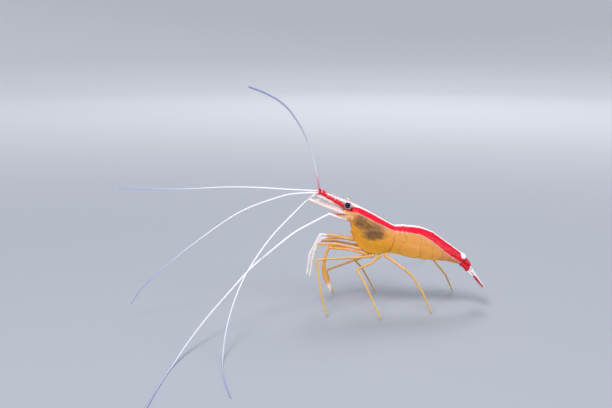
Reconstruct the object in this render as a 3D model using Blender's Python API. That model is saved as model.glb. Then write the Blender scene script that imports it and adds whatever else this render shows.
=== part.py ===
"""A cleaner shrimp standing on its walking legs, as one closed solid for each of its parts.

The head points along -X, the animal's left side faces -Y and +Z is up. Lengths are in
millimetres until a mesh is made, when MM turns them into Blender's metres. The whole animal
hangs from one empty, which puts the middle of its footprint at the origin.
"""
import math
from collections import namedtuple

import bmesh
import bpy
from mathutils import Vector

MM = 0.001
GAP = 0.3                      # clear space between neighbouring pieces
SIDES = {"left": -1, "right": 1}

# Body plates: each row gives the dorsal point, the ventral point and the half width of one
# cross-section, from front to back.
Row = namedtuple("Row", "top_x top_z bottom_x bottom_z half_width")
CARAPACE_ROWS = (
    Row(13.6, 30.0, 13.5, 21.6, 2.5),
    Row(15.4, 29.5, 14.8, 18.9, 3.3),
    Row(18.3, 28.1, 17.2, 17.1, 3.8),
    Row(21.6, 26.2, 20.2, 16.5, 3.9),
    Row(25.1, 24.2, 23.3, 16.8, 3.6),
)
ABDOMEN_ROWS = (
    Row(25.1, 24.2, 23.3, 16.7, 3.5),
    Row(28.0, 24.2, 27.2, 16.1, 3.6),
    Row(32.5, 23.7, 31.4, 15.2, 3.5),
    Row(36.4, 22.2, 34.9, 14.6, 3.2),
    Row(39.2, 20.2, 37.7, 14.3, 2.8),
    Row(41.8, 18.3, 40.1, 14.1, 2.35),
    Row(45.1, 15.9, 43.9, 13.1, 1.7),
)
WIDEST = 0.38                  # height of the widest point, as a share of the section's height
EDGE = 0.80                    # half width at the lower edge, as a share of the widest
WALL = 0.55                    # thickness of the side plates along their lower edge
RECESS = 1.7                   # how far the belly arches up between the side plates
SEAM_BULGE = 0.35              # how far a seam bows towards the tail at mid height
SCALLOP = 0.4                  # how far a side plate's corners are rounded up
ARCH_POWER = 2.3               # 2 is an ellipse, more is squarer shoulders

ROSTRUM_LINE = ((17.6, 28.2), (13.4, 30.6), (10.6, 31.7), (5.6, 33.7))
ROSTRUM_DEPTH = ((17.6, 1.4), (12.6, 1.6), (10.0, 1.0), (5.6, 0.5))
ROSTRUM_THICKNESS = 0.6
ROSTRUM_STEPS = 12
TOOTH_STARTS = (16.8, 14.6, 12.9, 11.2, 9.4, 7.7)
TOOTH_LENGTH = 0.9
TOOTH_HEIGHT = 0.35

EYE_CENTRE = (11.9, 2.5, 30.35)
EYE_RADIUS = 1.09
STALK_ROOT = (13.1, 1.05, 29.9)
STALK_RADIUS = 0.42

FEELER_RADIUS = 0.3            # at the root; the tip is FEELER_TAPER of it
FEELER_TAPER = 0.85
FEELER_SPACING = 2.8           # length of tube from ring to ring

# Tail fan: each blade's root, tip, width and thickness, for the right-hand side.
TAIL_BLADES = {
    "telson": ((45.5, 0.0, 14.5), (51.3, 0.0, 6.3), 2.4, 0.5),
    "uropod_inner": ((46.8, 1.0, 11.3), (51.2, 1.9, 5.9), 2.1, 0.5),
    "uropod_outer": ((46.4, 1.5, 10.7), (50.8, 3.2, 5.6), 2.4, 0.5),
}
UROPOD_BASE = ((44.5, 0.80, 13.0, 0.42), (45.4, 1.00, 12.6, 0.62), (46.3, 1.20, 11.9, 0.48))

COLOURS = {
    "shell": ((0.62, 0.28, 0.05), 0.35),
    "red": ((0.65, 0.01, 0.03), 0.3),
    "white": ((0.85, 0.85, 0.85), 0.4),
    "limb": ((0.70, 0.36, 0.12), 0.35),
    "eye": ((0.01, 0.01, 0.03), 0.1),
}

# A limb's joints from root to tip: x, y, z, radius.
LIMBS = {
    "maxilliped_left": ((13.3, -1.3, 20.2, 0.45), (8.6, -2.2, 21.5, 0.52), (4.1, -2.7, 22.0, 0.42),
                        (1.1, -3.0, 16.1, 0.38), (0.2, -3.2, 10.1, 0.25)),
    "maxilliped_right": ((13.3, 1.3, 20.0, 0.45), (8.7, 1.7, 20.0, 0.50), (4.3, 1.5, 19.9, 0.42),
                         (2.0, 1.2, 15.6, 0.38), (1.0, 0.6, 8.5, 0.25)),
    "cheliped_1_left": ((15.3, -2.4, 17.7, 0.42), (8.5, -3.4, 19.4, 0.38), (3.1, -3.9, 19.5, 0.36),
                        (2.3, -3.9, 17.4, 0.42), (1.5, -3.8, 13.7, 0.26)),
    "cheliped_1_right": ((15.3, 2.4, 17.6, 0.42), (8.7, 2.9, 18.7, 0.38), (3.4, 2.8, 18.9, 0.36),
                         (2.6, 2.4, 16.8, 0.42), (1.8, 2.1, 13.4, 0.26)),
    "cheliped_2_left": ((17.1, -2.5, 16.2, 0.40), (13.1, -3.6, 17.7, 0.36), (6.3, -4.9, 18.7, 0.34),
                        (5.3, -5.1, 15.7, 0.34), (4.8, -5.2, 13.0, 0.36), (5.2, -5.3, 10.2, 0.34),
                        (6.6, -5.5, 7.1, 0.22)),
    "cheliped_2_right": ((17.1, 2.5, 16.2, 0.40), (13.4, 2.9, 17.0, 0.36), (7.0, 2.9, 17.3, 0.34),
                         (5.8, 2.5, 14.7, 0.34), (5.4, 2.0, 12.0, 0.36), (5.8, 1.6, 9.2, 0.34),
                         (7.1, 1.2, 5.9, 0.22)),
    "walking_leg_3_left": ((19.2, -2.7, 15.7, 0.45), (14.6, -4.4, 15.7, 0.38), (2.9, -8.4, 16.0, 0.32),
                           (3.8, -9.6, 9.6, 0.32), (4.5, -10.4, 5.0, 0.30), (5.9, -10.9, -0.2, 0.28)),
    "walking_leg_3_right": ((19.2, 2.7, 15.7, 0.45), (13.7, 5.0, 12.3, 0.38), (6.1, 8.5, 8.5, 0.32),
                            (7.2, 10.0, 4.1, 0.32), (8.5, 11.0, -0.2, 0.28)),
    "walking_leg_4_left": ((21.0, -2.7, 15.6, 0.45), (18.7, -6.0, 14.5, 0.38), (14.2, -9.2, 13.4, 0.34),
                           (16.3, -10.8, 10.0, 0.32), (19.0, -13.2, 4.3, 0.30), (20.9, -14.1, -0.2, 0.28)),
    "walking_leg_4_right": ((21.0, 2.7, 15.6, 0.45), (17.7, 6.0, 13.8, 0.38), (14.7, 9.5, 11.2, 0.34),
                            (16.6, 10.6, 9.0, 0.32), (19.8, 13.0, 3.0, 0.30), (21.1, 14.0, -0.2, 0.28)),
    "walking_leg_5_left": ((22.8, -2.7, 15.7, 0.45), (27.9, -6.0, 12.6, 0.38), (30.1, -6.6, 10.7, 0.34),
                           (32.8, -7.3, 6.6, 0.32), (35.7, -8.1, -0.2, 0.28)),
    "walking_leg_5_right": ((22.8, 2.7, 15.7, 0.45), (30.6, 6.4, 14.9, 0.38), (37.0, 9.5, 12.7, 0.34),
                            (42.2, 12.5, 6.2, 0.32), (45.1, 15.8, -0.2, 0.28)),
}
CLAW_LENGTH = 1.1              # length of a cheliped's two fingers
CLAW_SLIT = 0.25               # space between them, as a share of the palm's radius
BEND = 0.7                     # how far from a joint the tube starts to turn
LIMB_SIDES = 7

# Feelers: each curve's own points, from the head to the tip. Two of them lie on the floor.
FEELERS = {
    "antennule_outer_left": ((3.8, -1.5, 34.9), (2.7, -4.0, 41.0), (0.5, -7.8, 49.4), (-3.2, -13.2, 56.8),
                             (-6.6, -17.4, 60.9), (-10.8, -22.4, 63.8), (-14.4, -27.0, 65.6)),
    "antennule_inner_left": ((3.4, -1.1, 33.7), (-2.0, -1.8, 33.7), (-7.6, -2.6, 32.8),
                             (-19.1, -4.6, 28.6), (-31.8, -7.0, 20.1), (-39.6, -8.4, 13.9),
                             (-45.4, -9.6, 8.9), (-49.1, -10.4, 3.8)),
    "antennule_outer_right": ((3.6, 1.5, 33.8), (-4.4, 2.0, 34.1), (-13.2, 2.4, 34.6), (-23.3, 2.8, 34.7),
                              (-34.6, 3.0, 34.1), (-45.0, 3.2, 34.1), (-54.2, 3.4, 34.2)),
    "antennule_inner_right": ((3.8, 0.9, 33.1), (1.1, 0.2, 32.0), (-3.4, -3.2, 28.3), (-9.4, -10.0, 23.2),
                              (-13.8, -17.6, 18.4), (-16.9, -24.6, 14.1), (-19.2, -31.6, 8.8),
                              (-20.4, -38.6, 3.9), (-20.3, -48.2, 0.2), (-18.7, -60.2, 0.2),
                              (-16.6, -70.0, 0.2)),
    "antenna_left": ((6.5, -4.1, 28.2), (2.7, -5.8, 26.6), (-3.3, -8.6, 23.8), (-9.3, -12.0, 19.7),
                     (-15.0, -16.0, 15.6), (-20.5, -22.0, 10.6), (-25.6, -29.5, 6.1),
                     (-29.8, -39.5, 2.3), (-32.4, -51.4, 0.2), (-33.6, -63.0, 0.2),
                     (-34.4, -75.0, 0.2), (-34.6, -79.0, 0.2)),
    "antenna_right": ((6.5, 4.1, 28.4), (3.9, 6.3, 29.6), (3.4, 9.5, 29.7), (6.0, 14.2, 28.2),
                      (14.0, 24.0, 22.0), (21.0, 32.0, 16.5), (30.0, 42.0, 9.6), (38.0, 51.0, 3.4),
                      (43.0, 57.0, 0.2), (47.0, 62.0, 0.2)),
}
FEELER_SIDES = 6


# ---------------------------------------------------------------- shared shapes

def spline(points, u):
    """The point at u on a smooth curve through points, where u counts from point to point."""
    last = len(points) - 1
    i = min(int(u), last - 1)
    t = u - i
    here, there = Vector(points[i]), Vector(points[i + 1])
    before = Vector(points[i - 1]) if i > 0 else 2 * here - there
    after = Vector(points[i + 2]) if i + 2 <= last else 2 * there - here
    return (here * 2 + (there - before) * t + (before * 2 - here * 5 + there * 4 - after) * t ** 2
            + (here * 3 - before - there * 3 + after) * t ** 3) / 2


def ring_faces(count, first, second):
    """Quads between two rings of count points that start at the indices first and second."""
    return [(first + i, first + (i + 1) % count, second + (i + 1) % count, second + i)
            for i in range(count)]


def loft(rings, cap=None):
    """Vertices and faces of a closed skin over equal rings. cap lists the faces of one end."""
    count = len(rings[0])
    vertices = [point for ring in rings for point in ring]
    faces = []
    for k in range(len(rings) - 1):
        faces += ring_faces(count, k * count, (k + 1) * count)
    end = cap or [tuple(range(count))]
    last = (len(rings) - 1) * count
    faces += [tuple(reversed(face)) for face in end]
    faces += [tuple(last + i for i in face) for face in end]
    return vertices, faces


def add_solid(name, shape, finish, origin):
    """A smooth-shaded object from (vertices, faces), with its origin at the point given."""
    vertices, faces = shape
    bm = bmesh.new()
    made = [bm.verts.new((Vector(v) - Vector(origin)) * MM) for v in vertices]
    for face in faces:
        bm.faces.new([made[i] for i in face])
    bmesh.ops.recalc_face_normals(bm, faces=bm.faces)
    mesh = bpy.data.meshes.new(name)
    bm.to_mesh(mesh)
    bm.free()
    mesh.shade_smooth()
    mesh.set_sharp_from_angle(angle=math.radians(50))
    mesh.materials.append(material(finish))
    solid = bpy.data.objects.new(name, mesh)
    bpy.context.scene.collection.objects.link(solid)
    solid.location = Vector(origin) * MM
    return solid


def material(finish):
    """The Principled material of one of the named finishes, made once."""
    found = bpy.data.materials.get(finish)
    if found:
        return found
    colour, roughness = COLOURS[finish]
    made = bpy.data.materials.new(finish)
    made.use_nodes = True
    shader = made.node_tree.nodes["Principled BSDF"]
    shader.inputs["Base Color"].default_value = (*colour, 1)
    shader.inputs["Roughness"].default_value = roughness
    shader.inputs["Metallic"].default_value = 0
    return made


def tube_rings(path, radii, sides):
    """Rings across a path, turned from one to the next without twisting."""
    rings = []
    across = None
    for i, point in enumerate(path):
        ahead = (path[min(i + 1, len(path) - 1)] - path[max(i - 1, 0)]).normalized()
        if across is None:
            across = ahead.orthogonal().normalized()
        across = (across - ahead * across.dot(ahead)).normalized()
        other = ahead.cross(across)
        turns = [2 * math.pi * k / sides for k in range(sides)]
        rings.append([point + (across * math.cos(a) + other * math.sin(a)) * radii[i] for a in turns])
    return rings


def above_floor(shape):
    """The shape with all that would be under the floor pressed flat onto it."""
    vertices, faces = shape
    return [(v[0], v[1], max(v[2], 0.0)) for v in vertices], faces


def blade(root, tip, across, width, thickness, profile, steps=6):
    """A flat leaf from root to tip. profile gives its share of the width along its length."""
    along = tip - root
    normal = along.cross(across).normalized()
    rings = []
    for i in range(steps + 1):
        s = i / steps
        half = width / 2 * profile(s)
        deep = thickness / 2 * (0.75 + 0.25 * profile(s))
        middle = root + along * s
        corners = ((-1, -0.45), (-0.6, -1), (0.6, -1), (1, -0.45), (1, 0.45), (0.6, 1), (-0.6, 1), (-1, 0.45))
        rings.append([middle + across * half * a + normal * deep * b for a, b in corners])
    return loft(rings)


# ---------------------------------------------------------------- carapace, abdomen, sternum

def half_outline(half_width, height):
    """(sideways, up) points of one side of a body section, from its lower edge to the shoulder."""
    widest = WIDEST * height
    points = []
    for s in (1.0, 0.66, 0.33):
        points.append((half_width * (1 - (1 - EDGE) * s ** 1.6), widest * (1 - s)))
    for step in range(6):
        a = math.pi / 2 * (1 - step / 6)
        points.append((half_width * math.sin(a) ** (2 / ARCH_POWER),
                       widest + (height - widest) * math.cos(a) ** (2 / ARCH_POWER)))
    return points


def section_frame(row):
    """Lower point, direction towards the back of the animal's top, height, and towards the tail."""
    bottom = Vector((row.bottom_x, 0, row.bottom_z))
    rise = Vector((row.top_x, 0, row.top_z)) - bottom
    up = rise.normalized()
    return bottom, up, rise.length, Vector((up.z, 0, -up.x))


def body_ring(row, shift, bulge, lift):
    """One body section: up the left side, down the right, and back under the arched belly."""
    bottom, up, height, rear = section_frame(row)
    side = half_outline(row.half_width, height)
    inner = EDGE * row.half_width - WALL
    outline = [(-y, h) for y, h in side] + [(0, height)] + [(y, h) for y, h in reversed(side)]
    for k in range(5):
        b = math.pi * k / 4
        outline.append((inner * math.cos(b), RECESS * math.sin(b)))
    ring = []
    for y, h in outline:
        raised = h + lift * max(0.0, 1 - h / height)
        back = shift + bulge * math.sin(math.pi * min(1.0, raised / height))
        ring.append(bottom + up * raised + rear * back + Vector((0, y, 0)))
    return ring


def body_cap():
    """Faces that close a body section: rungs down to its widest point, then the arched rest."""
    faces = [(8, 9, 10)]
    faces += [(i, i + 1, 17 - i, 18 - i) for i in range(3, 8)]
    faces.append((0, 1, 2, 3, 15, 16, 17, 18, 19, 20, 21, 22, 23))
    return faces


def body_plate(rows, start, end, steps, front, rear):
    """The plate between two rows. front and rear are the seams' (shift, bulge)."""
    rings = []
    for i in range(steps + 1):
        s = i / steps
        row = Row(*spline(rows, start + (end - start) * s))
        shift = front[0] if i == 0 else rear[0] if i == steps else 0.0
        bulge = front[1] * (1 - s) + rear[1] * s
        rings.append(body_ring(row, shift, bulge, SCALLOP * abs(2 * s - 1) ** 3))
    return loft(rings, body_cap())


def table_value(table, x):
    """The value at x in a table of (x, value) pairs with x falling."""
    for (x0, v0), (x1, v1) in zip(table, table[1:]):
        if x >= x1:
            return v0 + (v1 - v0) * (x0 - x) / (x0 - x1)
    return table[-1][1]


def rostrum_outline():
    """Side view of the rostrum, which is a blade with a saw of teeth along its top."""
    back, front = ROSTRUM_LINE[0][0], ROSTRUM_LINE[-1][0]
    top = []
    for i in range(ROSTRUM_STEPS + 1):
        x = back + (front - back) * i / ROSTRUM_STEPS
        if not any(start - TOOTH_LENGTH <= x <= start for start in TOOTH_STARTS):
            top.append((x, table_value(ROSTRUM_LINE, x)))
    for start in TOOTH_STARTS:
        for along, rise in ((0.0, 0.0), (0.75, 1.0), (1.0, 0.0)):
            x = start - along * TOOTH_LENGTH
            top.append((x, table_value(ROSTRUM_LINE, x) + rise * TOOTH_HEIGHT))
    top.sort(reverse=True)
    under = [(x, table_value(ROSTRUM_LINE, x) - table_value(ROSTRUM_DEPTH, x))
             for x in (6.2, 8.0, 10.0, 12.0, 14.5, 17.6)]
    return top + under


def rostrum():
    """The rostrum's blade, to be joined to the carapace."""
    outline = rostrum_outline()
    rings = [[Vector((x, side * ROSTRUM_THICKNESS / 2, z)) for x, z in outline] for side in (-1, 1)]
    blade_solid = add_solid("rostrum_blade", loft(rings), "white", (13.4, 0, 30.0))
    blade_solid.hide_render = True
    blade_solid.display_type = "WIRE"
    return blade_solid


def add_carapace():
    """The carapace with its rostrum, in one piece."""
    shape = body_plate(CARAPACE_ROWS, 0, 4, 8, (0.0, 0.0), (-GAP / 2, SEAM_BULGE))
    carapace = add_solid("carapace", shape, "shell", (20.0, 0, 23.0))
    union = carapace.modifiers.new("rostrum", "BOOLEAN")
    union.operation = "UNION"
    union.solver = "EXACT"
    union.object = rostrum()
    return [carapace, union.object]


def add_abdomen():
    """The six ring-shaped plates of the abdomen."""
    made = []
    for k in range(6):
        rear = (-GAP / 2, SEAM_BULGE if k < 5 else 0.0)
        shape = body_plate(ABDOMEN_ROWS, k, k + 1, 3, (GAP / 2, SEAM_BULGE), rear)
        row = ABDOMEN_ROWS[k]
        origin = (row.top_x, 0, (row.top_z + row.bottom_z) / 2)
        made.append(add_solid(f"abdomen_{k + 1}", shape, "red", origin))
    return made


def add_sternum():
    """The plate that fills the arch under the carapace, from which the legs grow."""
    rings = []
    for i in range(6):
        row = Row(*spline(CARAPACE_ROWS, 1.0 + 2.7 * i / 5))
        bottom, up, _, _ = section_frame(row)
        half = EDGE * row.half_width - WALL - GAP * 1.3
        outline = [(half * math.cos(math.pi * k / 6), (RECESS - GAP * 1.4) * math.sin(math.pi * k / 6))
                   for k in range(7)]
        outline += [(-half * 0.8, -0.25), (half * 0.8, -0.25)]
        rings.append([bottom + up * h + Vector((0, y, 0)) for y, h in outline])
    return [add_solid("sternum", loft(rings), "limb", (19.0, 0, 17.5))]


# ---------------------------------------------------------------- head

def leaf_profile(s):
    """A leaf that widens fast, stays broad and rounds off at its tip."""
    return 0.35 + 0.65 * math.sin(math.pi * min(1.0, 0.12 + 0.86 * s)) ** 0.6


def add_mouthparts():
    """The mandibles and small mouth limbs as one closed bundle in front of the carapace."""
    top, foot = Vector((12.95, 0, 25.2)), Vector((12.9, 0, 21.2))
    shape = blade(top, foot, Vector((0, 1, 0)), 3.0, 0.6, leaf_profile)
    return [add_solid("mouthparts", shape, "limb", top)]


def add_eye(side, sign):
    """One eye and the short stalk that carries it."""
    centre = Vector((EYE_CENTRE[0], sign * EYE_CENTRE[1], EYE_CENTRE[2]))
    bm = bmesh.new()
    bmesh.ops.create_uvsphere(bm, u_segments=14, v_segments=9, radius=EYE_RADIUS)
    bm.verts.index_update()
    shape = [v.co + centre for v in bm.verts], [[v.index for v in f.verts] for f in bm.faces]
    bm.free()
    eye = add_solid(f"eye_{side}", shape, "eye", centre)
    root = Vector((STALK_ROOT[0], sign * STALK_ROOT[1], STALK_ROOT[2]))
    toward = (centre - root).normalized()
    end = centre - toward * (EYE_RADIUS + GAP / 2)
    path = [root, (root + end) / 2, end]
    rings = tube_rings(path, [STALK_RADIUS * 0.8, STALK_RADIUS, STALK_RADIUS * 1.15], 8)
    stalk = add_solid(f"eyestalk_{side}", loft(rings), "limb", root)
    return [eye, stalk]


def add_antennule(side, sign):
    """The three-jointed stalk that carries two feelers."""
    joints = [(12.8, 1.05, 28.3, 0.5), (10.7, 1.2, 29.9, 0.6), (8.2, 1.25, 31.5, 0.62),
              (6.3, 1.25, 32.6, 0.62), (4.5, 1.25, 33.8, 0.6)]
    shape = limb_shape([(x, sign * y, z, r) for x, y, z, r in joints], 8)
    return [add_solid(f"antennule_{side}", shape, "red", (12.8, sign * 1.05, 28.3))]


def add_antenna_base(side, sign):
    """The stout jointed base of the long antenna, with its leaf-shaped scale."""
    joints = [(12.7, 2.7, 26.3, 0.95), (11.2, 3.0, 26.9, 0.95), (9.9, 3.4, 27.4, 0.62),
              (7.1, 3.9, 28.1, 0.52)]
    shape = limb_shape([(x, sign * y, z, r) for x, y, z, r in joints], 8)
    base = add_solid(f"antenna_base_{side}", shape, "limb", (12.7, sign * 2.7, 26.3))
    root, tip = Vector((10.9, sign * 3.2, 28.75)), Vector((0.8, sign * 3.6, 32.9))
    across = Vector((0, 1, 0.2 * -sign))
    across = (across - (tip - root).normalized() * across.dot((tip - root).normalized())).normalized()
    scale = blade(root, tip, across, 2.5, 0.55, leaf_profile, 8)
    return [base, add_solid(f"antennal_scale_{side}", scale, "white", root)]


# ---------------------------------------------------------------- limbs and feelers

def rounded_path(joints):
    """Points and radii along a limb, with each joint turned over a short bend."""
    spots = [Vector(joint[:3]) for joint in joints]
    path, radii = [spots[0]], [joints[0][3]]
    for i in range(1, len(joints) - 1):
        back, ahead = spots[i - 1] - spots[i], spots[i + 1] - spots[i]
        reach = min(BEND, 0.35 * back.length, 0.35 * ahead.length)
        start, end = spots[i] + back.normalized() * reach, spots[i] + ahead.normalized() * reach
        path += [start, (start + spots[i] * 2 + end) / 4, end]
        radii += [joints[i][3], joints[i][3] * 1.12, joints[i][3]]
    return path + [spots[-1]], radii + [joints[-1][3]]


def limb_shape(joints, sides):
    """A closed tube through a limb's joints."""
    path, radii = rounded_path(joints)
    return loft(tube_rings(path, radii, sides))


def finger(ring, first, along):
    """Points of a claw's finger that grows from four points of a ring, with its faces' pattern."""
    base = [ring[first + k] for k in range(4)]
    middle = sum(base, Vector()) / 4
    return [[middle + (p - middle) * share + along * reach for p in base]
            for share, reach in ((0.85, 0.55), (0.45, 1.0))]


def claw_shape(joints):
    """A limb that ends in a palm and two fingers with a slit between them."""
    path, radii = rounded_path(joints)
    rings = tube_rings(path, radii, 8)
    palm = rings[-1]
    along = (path[-1] - path[-2]).normalized() * CLAW_LENGTH
    centre = sum(palm, Vector()) / 8
    apart = (palm[1] + palm[2] - palm[5] - palm[6]).normalized()
    for k, point in enumerate(palm):
        wanted = CLAW_SLIT * radii[-1] * (1 if k < 4 else -1)
        if abs((point - centre).dot(apart)) < abs(wanted):
            palm[k] = point + apart * (wanted - (point - centre).dot(apart))
    vertices, faces = loft(rings)
    last = len(vertices) - 8
    faces = faces[:-1] + [(last, last + 3, last + 4, last + 7)]
    for first in (0, 4):
        previous = [last + first + k for k in range(4)]
        for ring in finger(palm, first, along):
            current = [len(vertices) + k for k in range(4)]
            vertices += ring
            faces += [(previous[k], previous[(k + 1) % 4], current[(k + 1) % 4], current[k])
                      for k in range(4)]
            previous = current
        faces.append(tuple(previous))
    return vertices, faces


def add_limbs():
    """Maxillipeds, chelipeds and walking legs."""
    made = []
    for name, joints in LIMBS.items():
        shape = claw_shape(joints) if name.startswith("cheliped") else limb_shape(joints, LIMB_SIDES)
        finish = "white" if name.startswith("maxilliped") else "limb"
        made.append(add_solid(name, above_floor(shape), finish, joints[0][:3]))
    return made


def add_feelers():
    """The four feelers of the antennules and the two long antennae."""
    made = []
    for name, points in FEELERS.items():
        length = sum((Vector(a) - Vector(b)).length for a, b in zip(points, points[1:]))
        steps = round(length / FEELER_SPACING)
        path = [spline(points, (len(points) - 1) * i / steps) for i in range(steps + 1)]
        radii = [FEELER_RADIUS * (1 - (1 - FEELER_TAPER) * i / steps) for i in range(steps + 1)]
        shape = above_floor(loft(tube_rings(path, radii, FEELER_SIDES)))
        made.append(add_solid(name, shape, "white", points[0]))
    return made


# ---------------------------------------------------------------- swimmerets and tail fan

def add_pleopods():
    """Five pairs of swimmerets, folded back in the arch under the abdomen."""
    made = []
    for k in range(5):
        row = Row(*spline(ABDOMEN_ROWS, k + 0.3))
        bottom, up, _, rear = section_frame(row)
        reach = 2.6 - 0.15 * k
        arch = EDGE * row.half_width - WALL
        for side, sign in SIDES.items():
            root = bottom + up * 0.8 + Vector((0, sign * arch * 0.45, 0))
            tip = root + rear * reach - up * (0.6 - 0.12 * k)
            shape = blade(root, tip, Vector((0, 1, 0)), arch * 0.6, 0.5, leaf_profile, 3)
            made.append(add_solid(f"pleopod_{k + 1}_{side}", shape, "limb", root))
    return made


def telson_profile(s):
    """Broad at the root, tapering to a narrow rounded end."""
    return 1 - 0.6 * s


def tail_blade(name, sign, profile):
    """One blade of the tail fan, mirrored to the side that sign gives, and its root."""
    root, tip, width, thickness = TAIL_BLADES[name]
    root, tip = (Vector((x, sign * y, z)) for x, y, z in (root, tip))
    level = Vector((0, 1, 0))
    along = (tip - root).normalized()
    across = (level - along * along.dot(level)).normalized()
    return blade(root, tip, across, width, thickness, profile), root


def add_tail_fan():
    """The telson over two pairs of uropods, which grow from a stout base on each side."""
    shape, root = tail_blade("telson", 1, telson_profile)
    made = [add_solid("telson", shape, "red", root)]
    for side, sign in SIDES.items():
        joints = [(x, sign * y, z, r) for x, y, z, r in UROPOD_BASE]
        made.append(add_solid(f"uropod_base_{side}", limb_shape(joints, 8), "red", joints[0][:3]))
        for name in ("uropod_inner", "uropod_outer"):
            shape, root = tail_blade(name, sign, leaf_profile)
            made.append(add_solid(f"{name}_{side}", shape, "red", root))
    return made


# ---------------------------------------------------------------- assembly

def clear_scene():
    """Take every object out of the file that the script runs in."""
    for old in list(bpy.data.objects):
        bpy.data.objects.remove(old, do_unlink=True)


def hang_from_empty(solids):
    """Parent the solids to an empty that centres their footprint on the origin."""
    spots = [solid.location + v.co for solid in solids for v in solid.data.vertices]
    root = bpy.data.objects.new("shrimp", None)
    bpy.context.scene.collection.objects.link(root)
    for axis in (0, 1):
        values = [spot[axis] for spot in spots]
        root.location[axis] = -(min(values) + max(values)) / 2
    for solid in solids:
        solid.parent = root


def main():
    """Build the whole animal."""
    clear_scene()
    solids = add_carapace() + add_abdomen() + add_sternum() + add_mouthparts()
    for side, sign in SIDES.items():
        solids += add_eye(side, sign) + add_antennule(side, sign) + add_antenna_base(side, sign)
    solids += add_limbs() + add_feelers() + add_pleopods() + add_tail_fan()
    hang_from_empty(solids)


main()
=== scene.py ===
"""Finished look of a cleaner shrimp: shell plates, jointed limbs, ringed feelers, eyes and tail fan.

The head points along -X, the animal's left side faces -Y and +Z is up. Sizes below are in
millimetres in the animal's own frame, and point() turns them into metres in the row's frame.
"""

import random
from collections import namedtuple
from math import ceil, copysign, cos, dist, exp, floor, hypot, pi, radians, sin, sqrt

import bmesh
import bpy
from bpy.props import FloatProperty, FloatVectorProperty, IntProperty, PointerProperty
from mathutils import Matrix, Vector, noise


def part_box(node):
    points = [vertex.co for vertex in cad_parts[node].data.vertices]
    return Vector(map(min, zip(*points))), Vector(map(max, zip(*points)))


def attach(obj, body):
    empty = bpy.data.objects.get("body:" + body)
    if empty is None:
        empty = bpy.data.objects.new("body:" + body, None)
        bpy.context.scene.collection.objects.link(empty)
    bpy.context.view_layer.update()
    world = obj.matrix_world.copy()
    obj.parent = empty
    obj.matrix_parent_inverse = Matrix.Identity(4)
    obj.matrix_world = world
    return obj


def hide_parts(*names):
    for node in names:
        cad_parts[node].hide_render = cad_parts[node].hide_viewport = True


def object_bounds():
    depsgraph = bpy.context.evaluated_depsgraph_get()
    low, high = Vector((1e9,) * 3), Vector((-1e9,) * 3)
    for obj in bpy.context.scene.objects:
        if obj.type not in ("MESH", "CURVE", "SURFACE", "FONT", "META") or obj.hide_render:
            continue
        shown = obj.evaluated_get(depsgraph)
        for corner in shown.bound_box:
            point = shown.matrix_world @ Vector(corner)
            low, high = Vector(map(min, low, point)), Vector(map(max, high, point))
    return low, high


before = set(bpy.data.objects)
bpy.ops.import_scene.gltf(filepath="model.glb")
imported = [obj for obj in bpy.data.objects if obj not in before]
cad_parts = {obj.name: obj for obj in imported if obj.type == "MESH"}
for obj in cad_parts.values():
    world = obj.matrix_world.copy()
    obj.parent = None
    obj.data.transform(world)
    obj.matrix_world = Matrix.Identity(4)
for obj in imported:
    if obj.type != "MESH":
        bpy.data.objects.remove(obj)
CAD_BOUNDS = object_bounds()

bl_info = {
    "name": "Cleaner Shrimp",
    "version": (1, 0, 0),
    "blender": (4, 5, 0),
    "location": "3D View > Sidebar > Shrimp",
    "description": "Builds a still cleaner shrimp around its packed solids",
    "category": "Add Mesh",
}

MM = 0.001
SIDES = {"left": -1, "right": 1}
LEFT_EYE = Vector((11.9, -2.5, 30.35))      # in the animal's own frame
ORIGIN = sum(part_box("eye_left"), Vector()) / 2 - LEFT_EYE * MM
Y_AXIS = Vector((0, 1, 0))

# Body: each row gives the dorsal point, the ventral point and the half width of one section.
Row = namedtuple("Row", "top_x top_z bottom_x bottom_z half_width")
CARAPACE_ROWS = (
    Row(13.6, 30.0, 13.5, 21.6, 2.5),
    Row(15.4, 29.5, 14.8, 18.9, 3.3),
    Row(18.3, 28.1, 17.2, 17.1, 3.8),
    Row(21.6, 26.2, 20.2, 16.5, 3.9),
    Row(25.1, 24.2, 23.3, 16.8, 3.6),
)
ABDOMEN_ROWS = (
    Row(25.1, 24.2, 23.3, 16.7, 3.5),
    Row(28.0, 24.2, 27.2, 16.1, 3.6),
    Row(32.5, 23.7, 31.4, 15.2, 3.5),
    Row(36.4, 22.2, 34.9, 14.6, 3.2),
    Row(39.2, 20.2, 37.7, 14.3, 2.8),
    Row(41.8, 18.3, 40.1, 14.1, 2.35),
    Row(45.1, 15.9, 43.9, 13.1, 1.7),
)
WIDEST = 0.38                  # height of the widest point, as a share of the section's height
EDGE = 0.80                    # half width at the lower edge, as a share of the widest
WALL = 0.32                    # thickness of the side plates along their lower edge
RECESS = 1.7                   # how far the belly arches up between the side plates
ARCH_POWER = 2.3               # 2 is an ellipse, more is squarer shoulders
SEAM_BULGE = 0.35              # how far a seam bows towards the tail at mid height
BELLY_STEPS = 14
FLANK_STEPS = 56
MIDDLE = (0.5, 0.5, 0.5)       # pattern of a part without marks

# How finely the pieces are cut.
BALL_RINGS, BALL_SIDES = 11, 20
ROSTRUM_RINGS, ROSTRUM_SIDES = 90, 18
STERNUM_RINGS, STERNUM_SIDES = 64, 28
EYE_RINGS, EYE_SIDES = 40, 48
PODOMERE_PARTS, PODOMERE_FLATNESS = 48, 0.86
WRIST_RINGS, FEELER_PARTS = 34, 260
THINNEST = 0.008               # smallest radius of a spine's tip
CORNEA_SIZE = 0.878            # radius of the ball of facets, as a share of the eye's
CORNEA_CAP = 0.45              # cosine of the angle at which the facets end
BRISTLE_PATCH = 0.003          # widest patch of a bristle on the bake map, as a share of the map
SHARP_ANGLE = 55               # in degrees: a steeper edge stays sharp

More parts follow.
